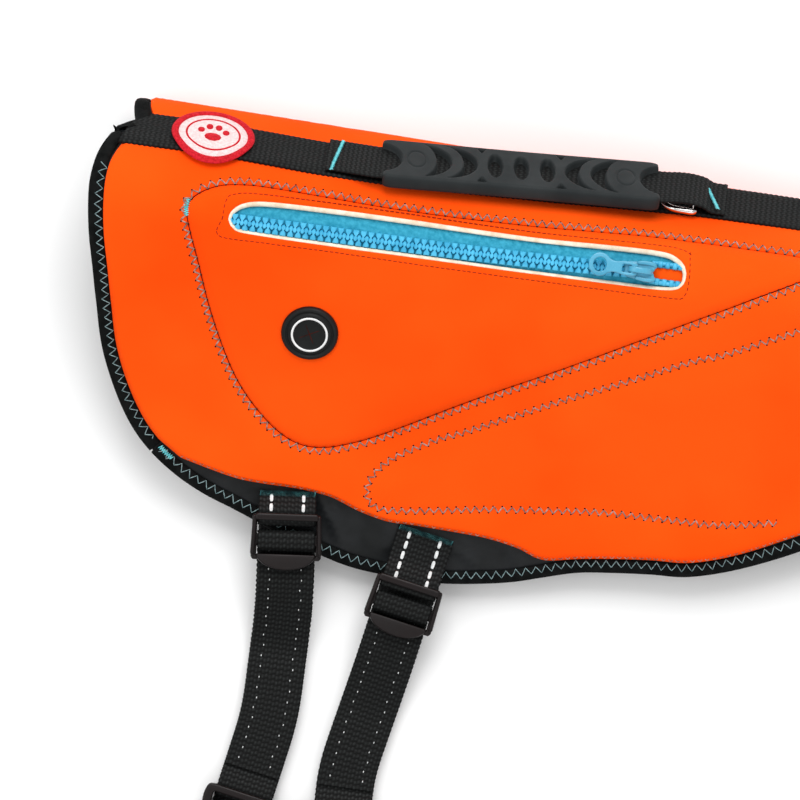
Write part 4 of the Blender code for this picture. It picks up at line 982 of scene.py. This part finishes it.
def make_opening_edge():
    """Cut foam edge: a sloping band from the orange rim down to the tape."""
    rim = opening_line(True)
    inner = grow(opening_line(), -0.45)
    share = np.linspace(0, 1, 5)[:, None, None]
    grid = grow(rim, 0.2)[None] * (1 - share) + inner[None] * share
    x, v = grid[..., 0], grid[..., 1]
    top = cloth_lift(rim[:, 0], rim[:, 1])[None] + 0.8 - 0.35
    lift = top * (1 - share[..., 0]) + 2.1 * share[..., 0] + 0.35 * np.sin(math.pi * share[..., 0])
    rows = np.concatenate([place(x, v, lift), place(x, v, lift - 0.5)[::-1]])
    tube("cut_edge_of_zip_opening", rows, CREAM, wrap=True)
    box = [(59.5, -45.0), (60.0, -38.0), (64.0, -34.9), (80.0, -33.4), (135.0, -32.2), (190.0, -31.5), (240.0, -29.4), (256.0, -29.1), (261.6, -30.6)]
    upper = unroll(smooth_line(box))
    lower = unroll(smooth_line([(261.6, -30.6), (262.8, -40.0), (261.6, -47.2), (252.0, -48.6), (200.0, -50.0), (146.9, -51.1), (112.5, -51.4), (80.0, -52.2), (59.0, -52.2), (59.5, -45.0)]))
    on_panel = lambda a, b: cloth_lift(a, b) + 0.8 - 0.05
    for name, line in (("upper", upper), ("lower", lower)):
        dashes("zip_stitches_" + name, line, 2.3, (1.9, 0.42), on_panel, THREAD_RED, 0.14)


# ---- webbing -------------------------------------------------------------------------------
RIB, WARP, RIB_RISE = 2.3, WEBBING / 16, 0.34

# Two columns to each warp thread, one in the hollow beside it and one on its crest.
WEB_COLUMNS = np.linspace(-0.5, 0.5, 33) * WEBBING


def ribs(s, a):
    """Height of the weave, 0 to 1: ribs across the webbing, broken into beads that shift along it from
    one warp to the next."""
    column = np.floor((a + WEBBING) / WARP)
    bead = np.abs(np.sin(math.pi * (s / RIB + 0.22 * (column % 2))))
    return bead ** 0.9 * (0.4 + 0.6 * np.abs(np.sin(math.pi * (a + WEBBING) / WARP)))


def selvedge(s, a):
    """Small teeth along both edges, one for each rib."""
    return 0.22 * np.sin(2 * math.pi * s / RIB) * (np.abs(a) > 0.475 * WEBBING) * np.sign(a)


def webbing(name, node, path, side, step=RIB / 4):
    """A ribbed strip: its middle follows the path and its width lies along side."""
    length = np.concatenate([[0], np.cumsum(np.linalg.norm(np.diff(path, axis=0), axis=1))]) / MM
    at = np.linspace(0, length[-1], int(length[-1] / step) + 1)
    path = np.stack([np.interp(at, length, path[:, k]) for k in range(3)], 1)
    side = np.stack([np.interp(at, length, side[:, k]) for k in range(3)], 1)
    side /= np.linalg.norm(side, axis=1)[:, None]
    normal = np.cross(side, run_of(path))
    normal /= np.linalg.norm(normal, axis=1)[:, None]
    s, a = np.meshgrid(at, WEB_COLUMNS, indexing="ij")
    height = ribs(s, a)
    out = a + selvedge(s, a)
    deep = (WEB_WALL / 2 - RIB_RISE * (1 - height)) * (1 - 0.6 * np.clip((np.abs(a) / WEBBING - 0.46) / 0.04, 0, 1) ** 2)
    middle = path[:, None] + side[:, None] * (out * MM)[..., None]
    rise = normal[:, None] * (deep * MM)[..., None]
    # the height attribute also sets the webbing's painted shade in the hollows and painted highlight on the crests
    piece = patch_body(name, middle + rise, middle - rise, WEB, np.stack([s, a], -1) * MM, height)
    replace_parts(piece, node)
    return path, side, at


def make_spine_webbing():
    """Webbing laid over the fold: x along the spine, a across it, following the cloth."""
    a = WEB_COLUMNS
    starts = []
    for side, turn in ((1, 1), (-1, -1)):
        edge = half_edge(side)[:60]
        beyond = (edge[:, 1] - spine(edge[:, 0])) * turn
        starts.append(np.interp(np.abs(a), beyond, edge[:, 0]))
    start = np.where(a > 0, starts[0], starts[1]) + BIND_WIDTH + 0.8
    end = half_edge(1)[-1, 0] - BIND_WIDTH - 0.8 + 2.0 * ease(-a / 12.0)
    t = np.linspace(0, 1, 660)[:, None]
    x = start + (end - start) * t
    wide = a[None] + 0 * x
    height = ribs(x, wide)
    lift = 2 * GAP + COVER + WEB_WALL - RIB_RISE * (1 - height) - 0.5 * np.clip((np.abs(wide) / WEBBING - 0.46) / 0.04, 0, 1) ** 2
    v = spine(x) + wide + selvedge(x, wide)
    # the height attribute also sets the webbing's painted shade in the hollows and painted highlight on the crests
    piece = patch_body("webbing_on_spine", place(x, v, lift), place(x, v, 2 * GAP + COVER + 0.02), WEB,
                       np.stack([x, wide], -1) * MM, height)
    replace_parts(piece, "spine_webbing")


# ---- carrying handle -----------------------------------------------------------------------
SLOPE = math.radians(57.0)
SLOPE_OUT = np.array([0.0, math.sin(SLOPE), math.cos(SLOPE)])
SLOPE_DOWN = np.array([0.0, -math.cos(SLOPE), math.sin(SLOPE)])
HANDLE_RISE = [
    # x, lift off the slope, v
    (100.0, 5.4, 8.0), (106.0, 5.4, 8.0), (111.0, 6.2, 9.4), (116.0, 7.6, 11.6), (122.0, 8.5, 13.0),
    (129.0, 8.69, 12.38), (185.0, 10.23, 7.4), (240.0, 11.75, 2.52), (247.0, 11.94, 1.9), (252.0, 11.7, 0.2),
    (258.0, 10.5, -2.2), (264.0, 8.4, -4.2), (268.0, 5.9, -5.2), (274.0, 5.4, -6.1),
]
GRIP = {"start": 124.0, "end": 244.5, "width": 31.0, "thick": 7.0}


def on_slope(x, lift, v):
    flat = place(x, np.zeros_like(x), 0.0)
    return flat + (np.multiply.outer(v, SLOPE_DOWN) + np.multiply.outer(lift, SLOPE_OUT)) * MM


def make_handle():
    rise = smooth_line(HANDLE_RISE, 1.5)
    path = on_slope(rise[:, 0], rise[:, 1], rise[:, 2])
    webbing("webbing_of_handle", "handle_webbing", path, np.tile(-SLOPE_DOWN, (len(path), 1)))
    ends = [np.array([np.interp(GRIP[end], rise[:, 0], path[:, k]) for k in range(3)]) for end in ("start", "end")]
    run = (ends[1] - ends[0]) / np.linalg.norm(ends[1] - ends[0])
    out = np.cross(run, SLOPE_DOWN)
    out = out if out @ SLOPE_OUT > 0 else -out
    down = np.cross(run, out)
    down = down if down @ SLOPE_DOWN > 0 else -down
    make_grip(ends[0], run, down, out)


def oval(u, w, at, long, tall):
    """Rough distance inside an ellipse: positive within, about one millimetre to each millimetre."""
    return (1 - np.sqrt(((u - at) / long) ** 2 + (w / tall) ** 2)) * min(long, tall)


def make_grip(start, run, down, out):
    """Moulded grip: a height over its length and width, let down where the webbing shows through."""
    length, half_wide, half_thick = GRIP["end"] - GRIP["start"], GRIP["width"] / 2, GRIP["thick"] / 2
    u = np.concatenate([np.linspace(0, 1.5, 6)[:-1], np.linspace(1.5, length - 1.5, 250), length - np.linspace(0, 1.5, 6)[::-1][1:]])
    t = np.concatenate([-1 + np.linspace(0, 0.09, 6)[:-1], np.linspace(-0.91, 0.91, 66), 1 - np.linspace(0, 0.09, 6)[::-1][1:]])
    end = np.minimum(u, length - u)
    wide = half_wide - 2.4 * (1 - np.sqrt(1 - np.clip(1 - end / 5.0, 0, 1) ** 2)) - 0.5 * np.sin(math.pi * u / length) ** 2
    u, w = np.broadcast_arrays(u[:, None], wide[:, None] * t[None])
    rim = np.minimum(np.minimum(u, length - u), wide[:, None] * (1 - np.abs(t[None])))
    middle = length / 2
    off = np.abs(u - middle)
    holes = [
        oval(off, w, middle + 1.0, 9.4, 11.0),
        np.minimum(oval(off, w, 45.6, 15.2, 13.2), -oval(off, w, 45.6, 8.8, 14.4)) * 1.0,
        np.minimum(oval(off, w, 35.0, 15.8, 12.8), -oval(off, w, 35.0, 10.0, 13.4)),
        oval(off, w, 11.4, 3.1, 8.8),
        oval(off, w, 0.0, 3.1, 8.8),
        np.minimum(2.0 - np.abs(off - 17.3) - 0.55 * (13.6 - np.abs(w)), 13.4 - np.abs(w)),
    ]
    for index in (1, 2):
        holes[index] = np.minimum(holes[index], (45.6 if index == 1 else 35.0) - off)
    cut = ease(np.clip(np.max(holes, axis=0) / 0.7 + 0.4, 0, 1))
    button = np.abs(oval(off, w, 45.6, 4.0, 6.3))
    crown = half_thick - 0.35 * (w / half_wide) ** 2 - 0.55 * np.exp(-(button / 0.28) ** 2)
    soft = 1.6 - np.sqrt(np.maximum(1.6 ** 2 - np.clip(1.6 - rim, 0, 1.6) ** 2, 0.0))
    floor = 0.28
    top = (crown - soft) * (1 - cut) + np.minimum(floor, crown - soft) * cut
    low = -half_thick + soft
    raised = lambda height: start + (u[..., None] * run + w[..., None] * down + height[..., None] * out) * MM
    piece = patch_body("rubber_grip", raised(top), raised(low), RUBBER)
    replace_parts(piece, "grip")


def make_ring():
    """Steel D-ring: a straight bar under the handle webbing and a bow lying over the spine webbing."""
    wire, inner, bar_x = 1.4, 14.2, 261.0
    lift = 3 * GAP + COVER + WEB_WALL + wire
    turn = np.radians(np.linspace(-85, 85, 50))
    across = np.linspace(-inner, inner, 30)
    bow = np.stack([bar_x - 7.0 - 11.0 * np.cos(turn), inner * np.sin(turn)], 1)[::-1]
    line = even(np.vstack([np.stack([np.full(30, bar_x), across], 1), bow]), count=180, closed=True)
    line = sum(np.roll(line, shift, 0) for shift in range(-4, 5)) / 9
    path = on_slope(line[:, 0], np.full(len(line), lift), line[:, 1] + float(spine(bar_x)))
    run = np.roll(path, -1, 0) - np.roll(path, 1, 0)
    run /= np.linalg.norm(run, axis=1)[:, None]
    side = np.cross(SLOPE_OUT, run)
    turn = np.linspace(0, 2 * math.pi, 20, endpoint=False)
    rings = path[:, None] + wire * MM * (np.cos(turn)[None, :, None] * side[:, None]
                                         + np.sin(turn)[None, :, None] * SLOPE_OUT)
    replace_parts(tube("steel_d_ring", rings, STEEL, wrap=True), "d_ring")


def make_tacks():
    """Bright bar tacks at both ends of the handle, and where the pocket's seam starts."""
    for name, x, slant in (("rear", 104.2, -1.6), ("front", 267.0, 4.0)):
        a = np.linspace(-11.6, 11.6, 30)
        line = np.stack([x + slant * a / 11.6, spine(x) + a], 1)
        lift = 5.4 if name == "rear" else 6.6
        zigzag("handle_tack_" + name, line, 1.5, 0.75, lambda p, q: np.full_like(p, lift + 0.9), 0.22, THREAD_CYAN)
    line = unroll([(43.4, -39.6), (43.2, -43.0), (43.8, -46.6)])
    zigzag("pocket_tack", line, 2.4, 0.9, cloth_lift, 0.25, THREAD_CYAN)
    line = unroll([(47.5, -147.2), (50.0, -149.3), (53.4, -151.6)])
    zigzag("hem_tack", line, 2.2, 1.0, lambda p, q: np.full_like(p, GAP + BIND_WALL + 0.35), 0.22, THREAD_CYAN)


# ---- badge and cable grommet ---------------------------------------------------------------
def disc(name, x, v, profile, material, wrap=False, sides=120):
    """A turned piece laid on the cloth: circles of a profile of radius and lift; wrap closes a ring."""
    turn = np.linspace(0, 2 * math.pi, sides, endpoint=False)
    r, lift = np.array(profile, float).T
    lift = np.broadcast_to(lift[:, None], (len(r), sides))
    rings = place(x + r[:, None] * np.cos(turn)[None], v + r[:, None] * np.sin(turn)[None], lift)
    return tube(name, rings, material, wrap=wrap)


def make_badge():
    """Round woven badge: overlocked rim, pale field, a ring and a paw print in raised stitches."""
    x, v = PATCH_X, float(spine(PATCH_X)) + 0.5
    base = 3 * GAP + COVER + WEB_WALL
    field = disc("badge_field", x, v, [(0.4, base), (16.0, base), (16.4, base + 0.5), (16.0, base + 1.0), (12.0, base + 1.05), (0.4, base + 1.1)], BADGE_FIELD)
    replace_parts(field, "patch")
    turn = np.linspace(0, 2 * math.pi, 300, endpoint=False)
    around = np.linspace(0, 2 * math.pi, 14, endpoint=False)
    for name, radius, half, rise, middle, strands, material in (("badge_rim", 16.6, 1.6, 0.85, base + 0.85, 110, BADGE_RED),
                                                                ("badge_inner_ring", 11.6, 0.45, 0.3, base + 1.05, 70, BADGE_RED)):
        r = radius + half * np.cos(around)[None]
        swell = 1 + 0.12 * np.sin(turn * strands)[:, None]
        lift = middle + rise * np.sin(around)[None] * swell
        tube(name, place(x + r * np.cos(turn)[:, None], v + r * np.sin(turn)[:, None], lift), material, wrap=True)
    pads = np.array([(0.0, 2.4, 7.4, 6.0), (-5.4, -2.2, 3.0, 4.0), (-2.0, -5.4, 3.0, 4.4), (2.0, -5.4, 3.0, 4.4), (5.4, -2.2, 3.0, 4.0)])
    spots = np.stack([x + pads[:, 0], v + pads[:, 1]], 1)
    centre, ahead, up = along_cloth(spots, np.tile([1.0, 0.0], (len(pads), 1)), base + 1.15)
    tiles("badge_paw_print", centre, ahead, up, pads[:, 2:], 0.35, BADGE_RED, square=0.95)


def make_grommet():
    """Rubber cable grommet: rolled rim, groove, raised ring with a white line and a slit membrane."""
    x, y = GROMMET_AT
    v = float(over(y))
    base = 4.15
    profile = [(0.4, 3.3), (12.4, 3.3), (12.4, base + 0.6), (12.1, base + 1.3), (11.5, base + 1.8), (10.9, base + 1.9), (10.5, base + 1.75),
               (10.2, base + 1.2), (9.8, base + 1.2), (9.4, base + 1.75), (9.0, base + 2.0), (8.0, base + 2.05), (7.2, base + 2.0), (6.9, base + 1.5),
               (6.5, base + 1.35), (3.0, base + 1.3), (0.4, base + 1.3)]
    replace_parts(disc("cable_grommet", x, v, profile, BLACK_RUBBER), "grommet")
    disc("grommet_white_ring", x, v, [(7.15, base + 1.9), (8.05, base + 1.9), (8.05, base + 2.12), (7.15, base + 2.12)],
         WHITE_RING, wrap=True)
    # the slits are dark pads: painted shade inside the cuts of the membrane
    for index, angle in enumerate((30.0, 118.0)):
        way = np.array([[math.cos(math.radians(angle)), -math.sin(math.radians(angle))]])
        centre, ahead, up = along_cloth(np.array([[x, v]]), way, base + 1.31)
        tiles("grommet_slit_%d" % index, centre, ahead, up, (10.4, 0.4), 0.06, PAINTED_HOLE_SHADE, square=0.9)


# ---- belly straps --------------------------------------------------------------------------
STRAPS = [
    # name, x, y, height, lock turn, strap turn, turn at the buckle
    ("rear", 108.2, -179.5, 22.6, 7.0, 1.5, -9.0),
    ("front", 162.8, -200.5, 16.2, -9.0, -10.3, 4.0),
]
ANCHOR_RISE = {
    "rear": [(-20.4, 22.4), (-17.6, 23.8)],
    "front": [(-33.2, 18.9), (-27.0, 17.8), (-20.0, 17.4)],
}
BUCKLE = {"width": 34.0, "socket": 32.0, "plug": 24.0, "thick": 9.0, "low": 2.2}
BUCKLE_Y, LOOP_END = -292.0, 82.0
RUN, TAIL_RUN, RETURN = 3.5, 5.5, 1.1
CHEST = {"x": 379.0, "y": -107.5, "turn": 58.0, "buckle": 52.0, "end": 134.0}


def strap_course(at, turns):
    """Plan curve of a strap: straight past its adjuster, then swinging to its later directions."""
    s = np.arange(-90.0, 260.0, 0.5)
    first, second, third = turns
    turn = first + (second - first) * ease((s - 14.0) / 30.0) + (third - second) * ease((s - 62.0) / 30.0)
    turn = np.radians(turn)
    plan = np.cumsum(np.stack([np.sin(turn), -np.cos(turn)], 1) * 0.5, 0)
    plan += np.array(at) - plan[int(np.argmin(np.abs(s)))]

    def course(where):
        spot = np.stack([np.interp(where, s, plan[:, 0]), np.interp(where, s, plan[:, 1])], -1)
        angle = np.interp(where, s, turn)
        return spot, np.stack([-np.cos(angle), -np.sin(angle), np.zeros_like(angle)], -1)
    return course


def strap(name, node, course, points, base=0.0, step=RIB / 4):
    """A strap from points of distance down its course and height."""
    path = smooth_line(points, 1.0)
    spot, side = course(path[:, 0])
    middle = (np.column_stack([spot, path[:, 1] + base]) - np.array([*CENTRE, 0.0])) * MM
    return webbing(name, node, middle, side, step)


def edge_crossing(edge, course):
    """How far down a course the whole width of a strap clears an edge."""
    s = np.arange(-90.0, 60.0, 0.5)
    plan = np.stack([edge[:, 0], np.interp(edge[:, 1], FORM_V, FORM_Y)], 1)
    crossings = []
    for share in (-0.5, 0.0, 0.5):
        spot, side = course(s)
        crossings.append(s[int(np.argmin(reach_to(spot + side[:, :2] * WEBBING * share, plan)))])
    return max(crossings)


def strap_axes(course, where):
    """Own X across the strap, own Y back up it, own Z up."""
    spot, side = course(where)
    across = -side
    return across, np.cross([0.0, 0.0, 1.0], across), np.array([0.0, 0.0, 1.0])


def make_lock(name, course, height):
    """Ladder lock: frame with two windows, raised side rails and cross bar, and a domed lifting tab."""
    spot, _ = course(0.0)
    at = (np.array([*spot, height]) - np.array([*CENTRE, 0.0])) * MM
    axes = strap_axes(course, 0.0)
    side = smooth_line([(13.1, 11.9), (14.1, 10.6), (14.4, 6.0), (14.7, 0.0), (15.2, -5.0), (15.3, -7.4), (14.4, -8.6)], 0.8)
    outline = np.vstack([side, side[::-1] * [-1, 1]])
    windows = [rounded_box(-12.9, 12.9, 2.6, 8.4, 0.6), rounded_box(-12.9, 12.9, -6.9, -2.3, 0.6)]
    piece = plate("lock_frame_" + name, [outline] + windows, 1.1, 0.8, at, axes, PLASTIC)
    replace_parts(piece, "adjuster_" + name)
    bar("lock_cross_bar_" + name, [(-13.9, 10.2, 4.9), (0.0, 10.2, 5.0), (13.9, 10.2, 4.9)], 3.0, 1.7, at, axes, PLASTIC)
    for turn, word in ((1, "left"), (-1, "right")):
        bar("lock_rail_%s_%s" % (word, name), [(13.9 * turn, 11.3, 3.6), (14.1 * turn, 8.0, 3.4), (14.4 * turn, 0.0, 2.4),
                                               (14.7 * turn, -6.6, 1.8)], 1.9, 3.6, at, axes, PLASTIC)
    dome = smooth_line([(12.9, -6.2), (12.2, -8.4), (9.4, -10.9), (5.0, -12.6), (0.0, -13.2), (-5.0, -12.6), (-9.4, -10.9),
                        (-12.2, -8.4), (-12.9, -6.2)], 0.8)
    tip = math.radians(-9.0)
    across, back, up = (np.array(axis) for axis in axes)
    tilted = (across, back * math.cos(tip) + up * math.sin(tip), up * math.cos(tip) - back * math.sin(tip))
    plate("lock_tab_" + name, [dome], 0.5, 0.65, at + up * 0.9 * MM, tilted, PLASTIC)


def make_buckle(name, course, start):
    """Side-release buckle: waisted socket with two release pads, and the plug with its web bar."""
    middle = BUCKLE["low"] + BUCKLE["thick"] / 2
    for part, length, offset in (("plug", BUCKLE["plug"], 0.0), ("socket", BUCKLE["socket"], BUCKLE["plug"] + GAP)):
        where = start + offset + length / 2
        spot, _ = course(where)
        at = (np.array([*spot, middle]) - np.array([*CENTRE, 0.0])) * MM
        axes = strap_axes(course, where)
        half = length / 2
        flip = 1 if part == "plug" else -1
        if part == "plug":
            side = [(13.0, half), (15.8, half - 0.8), (16.9, half - 4.0), (16.6, half - 9.0), (14.4, half - 14.0), (14.0, -half)]
            extra = 3.0
        else:
            side = [(14.6, -half), (16.6, -half + 1.6), (16.9, -half + 6.0), (13.6, -2.0), (13.2, 4.0), (15.6, half - 4.0), (15.6, half)]
            extra = 3.4
        side = smooth_line(side, 0.8)
        outline = np.vstack([side, side[::-1] * [-1, 1]])
        hole = rounded_box(-12.9, 12.9, flip * half - flip * 7.6 if flip > 0 else -half + 3.4, half - 3.4 if flip > 0 else -half + 7.6, 0.8)
        piece = plate("%s_%s_shell" % (name, part), [outline, hole], extra - 0.4, 1.0, at, axes, PLASTIC)
        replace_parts(piece, "%s_%s" % (name, part))
        if part == "socket":
            for turn, word in ((1, "left"), (-1, "right")):
                pad = mirrored_outline([(-8.0, 0.0), (-7.0, 1.5), (-2.0, 2.1), (4.0, 2.1), (8.0, 1.3), (9.0, 0.0)])
                pad = np.stack([pad[:, 1] + 14.8, pad[:, 0]], 1) * [turn, 1]
                plate("%s_pad_%s" % (name, word), [pad], 2.0, 0.8, at, axes, PLASTIC)
            bar("%s_socket_ridge" % name, [(-6.0, -4.0, 4.5), (0.0, -5.0, 4.6), (6.0, -4.0, 4.5)], 1.4, 0.9, at, axes, PLASTIC)


def strap_marks(name, path, side, at, positions, size, material, height, spread=7.0, jitter=0.0):
    """Reflective marks in two columns on a strap, at given distances along it."""
    spots, ahead = [], []
    run = run_of(path)
    for index, where in enumerate(positions):
        for column in (-spread, spread):
            wander = jitter * math.sin(index * 2.7 + column)
            centre = np.array([np.interp(where, at, path[:, k]) for k in range(3)])
            across = np.array([np.interp(where, at, side[:, k]) for k in range(3)])
            spots.append(centre + across * (column + wander) * MM + np.array([0.0, 0.0, height * MM]))
            ahead.append([np.interp(where, at, run[:, k]) for k in range(3)])
    ahead = np.array(ahead)
    ahead /= np.linalg.norm(ahead, axis=1)[:, None]
    up = np.tile([0.0, 0.0, 1.0], (len(spots), 1))
    up -= ahead * (up * ahead).sum(1)[:, None]
    up /= np.linalg.norm(up, axis=1)[:, None]
    tiles(name, np.array(spots), ahead, up, size, 0.22, material, square=0.6)


def make_straps():
    far = half_edge(-1)
    far = far[12:-12]
    for name, x, y, height, lock_turn, strap_turn, end_turn in STRAPS:
        course = strap_course((x, y), (lock_turn, strap_turn, end_turn))
        make_lock(name, course, height)
        rise = ANCHOR_RISE[name]
        path, side, at = strap("webbing_anchor_" + name, "anchor_webbing_" + name, course, [
            *[(down, up - height) for down, up in rise],
            (-14.0, 3.0), (-10.0, 3.1), (-7.2, 2.75), (-6.9, 0.0), (-7.2, -2.75), (-9.5, -3.1), (-12.0, -3.1),
        ], height)
        last = 8.5 if name == "rear" else 22.0
        strap_marks("anchor_dashes_" + name, path, side, at, np.arange(2.2, last, 4.7), (3.7, 1.5), SILVER, 0.72)
        start = (y - BUCKLE_Y) / math.cos(math.radians(strap_turn))
        slot_height = BUCKLE["low"] + BUCKLE["thick"] / 2
        low, top = RUN - height, TAIL_RUN - height
        path, side, at = strap("webbing_belly_" + name, "belly_strap_" + name, course, [
            (start - 10.0, top), (start - 30.0, top), (58.0, top), (44.0, top + 0.4), (20.0, -4.2), (12.0, -3.1),
            (8.2, -3.1), (5.5, -2.2), (4.6, 0.0), (3.1, 2.5), (0.5, 3.1), (-1.2, 3.1), (-3.3, 2.8), (-3.8, 0.0),
            (-3.6, -2.6), (-2.2, -4.4), (0.5, -5.1), (8.0, -5.1), (13.0, -5.3), (20.0, -6.4), (43.0, low + 0.4),
            (58.0, low), (start - 24.0, low), (start - 12.0, low), (start - 3.0, slot_height - height),
            (start + 4.5, slot_height - height),
        ], height)
        upper = at[-1] / 2 - 16.0
        strap_marks("strap_specks_" + name, path, side, at, np.arange(4.0, upper, 4.7), (0.85, 0.4), SILVER, 0.66, 7.0, 0.35)
        make_buckle("belly_buckle_" + name, course, start)
        finish_s = start + BUCKLE["plug"] + BUCKLE["socket"] + GAP
        hem = edge_crossing(far, course)
        turn_at = start + LOOP_END
        strap("webbing_far_" + name, "far_strap_" + name, course, [
            (finish_s - 4.5, slot_height), (finish_s + 3.0, slot_height), (turn_at - 4.0, slot_height),
            (turn_at - 0.8, (slot_height + RETURN) / 2 + 1.4), (turn_at, (slot_height + RETURN) / 2),
            (turn_at - 0.8, (slot_height + RETURN) / 2 - 1.4), (turn_at - 4.0, RETURN), (turn_at - 20.0, RETURN),
            (30.0, RETURN), (hem + 14.0, RETURN), (hem + 5.0, FLOOR), (hem + 1.6, FLOOR),
        ], step=RIB / 2)
        # teal stitching where the anchor goes under the cover
        across = np.linspace(-12.0, 12.0, 40)
        spot, way = course(rise[0][0])
        line = spot + np.outer(across, way[:2])
        spots = unroll(line)
        lift = np.full(len(spots), rise[0][1] + 1.2)
        path = (np.column_stack([line, lift]) - np.array([*CENTRE, 0.0])) * MM
        swing = np.tile([1.0, -1.0], 60)[:96]
        steps = np.linspace(0, 39, 96)
        path = np.stack([np.interp(steps, np.arange(40), path[:, k]) for k in range(3)], 1)
        path += np.outer(swing * 1.1, np.array([way[1], -way[0], 0.0])) * MM
        thread("anchor_stitches_" + name, path, np.tile([0.0, 0.0, 1.0], (len(path), 1)), 0.3, THREAD_TEAL)


def make_chest_strap():
    course = strap_course((CHEST["x"], CHEST["y"]), [CHEST["turn"]] * 3)
    near_s = edge_crossing(half_edge(1)[12:-12], course)
    far_s = edge_crossing(half_edge(-1)[12:-12], course)
    start_height = float(np.interp(CHEST["y"], FORM_Y[TOP:][::-1], FORM_Z[TOP:][::-1])) - EDGE / 2
    slot_height = BUCKLE["low"] + BUCKLE["thick"] / 2
    start, end = CHEST["buckle"], CHEST["end"]
    strap("webbing_chest_near", "chest_strap_near", course, [
        (near_s + 1.7, start_height), (near_s + 8.0, start_height - 2.0), (start - 16.0, slot_height + 4.0),
        (start - 6.0, slot_height + 0.4), (start + 4.5, slot_height),
    ])
    make_buckle("chest_buckle", course, start)
    finish_s = start + BUCKLE["plug"] + BUCKLE["socket"] + GAP
    strap("webbing_chest_far", "chest_strap_far", course, [
        (finish_s - 4.5, slot_height), (finish_s + 3.0, slot_height), (end - 4.0, slot_height),
        (end - 0.8, (slot_height + RETURN) / 2 + 1.4), (end, (slot_height + RETURN) / 2),
        (end - 0.8, (slot_height + RETURN) / 2 - 1.4), (end - 4.0, RETURN), (end - 20.0, RETURN),
        (far_s + 14.0, RETURN), (far_s + 5.0, FLOOR), (far_s + 1.6, FLOOR),
    ], step=RIB / 2)


# ---- room ----------------------------------------------------------------------------------
def make_room():
    floor = bpy.data.meshes.new("floor")
    floor.from_pydata([(-6, -6, 0), (6, -6, 0), (6, 6, 0), (-6, 6, 0)], [], [(0, 1, 2, 3)])
    floor.transform(Matrix.Translation((0.0, 0.0, -0.0002)))
    ground = bpy.data.objects.new("floor", floor)
    bpy.context.scene.collection.objects.link(ground)
    material, *_ = material_of("pale floor", (0.93, 0.93, 0.93), 0.95, shine=0.1)
    floor.materials.append(material)
    for name, at, size, power in (("key", (-0.15, 1.5, 1.7), 1.5, 34.0), ("fill", (0.7, -1.3, 1.9), 2.2, 12.0),
                                  ("side", (-1.3, 0.1, 1.6), 1.5, 9.0)):
        light = bpy.data.lights.new(name, "AREA")
        light.size, light.energy = size, power
        lamp = bpy.data.objects.new(name, light)
        lamp.location = at
        lamp.rotation_euler = (Vector((-0.1, 0.06, 0.0)) - Vector(at)).to_track_quat("-Z", "Y").to_euler()
        bpy.context.scene.collection.objects.link(lamp)
    world = bpy.data.worlds.new("pale room")
    world.use_nodes = True
    world.node_tree.nodes["Background"].inputs[0].default_value = (1.0, 1.0, 1.0, 1.0)
    world.node_tree.nodes["Background"].inputs[1].default_value = 0.6
    bpy.context.scene.world = world
    bpy.context.scene.view_settings.view_transform = "Standard"


def make_camera():
    """Straight above, turned so that the spine falls 9 degrees to the right."""
    camera = bpy.data.cameras.new("camera")
    distance, shown, level = 5.0, 0.3478, 0.035
    camera.sensor_width = 36.0
    camera.lens = 36.0 * (distance - level) / shown
    eye = bpy.data.objects.new("camera", camera)
    eye.location = ((147.6 - CENTRE[0]) * MM, (-111.3 - CENTRE[1]) * MM, distance)
    eye.rotation_euler = (0.0, 0.0, math.radians(9.0))
    bpy.context.scene.collection.objects.link(eye)
    bpy.context.scene.camera = eye


make_camera()
make_room()
make_lining(1, "near")
make_lining(-1, "far")
make_near_cover()
make_pocket_panel()
make_far_cover()
make_bindings()
make_stitches()
make_tapes()
make_teeth()
make_slider()
make_opening_edge()
make_spine_webbing()
make_handle()
make_ring()
make_tacks()
make_badge()
make_grommet()
make_straps()
make_chest_strap()
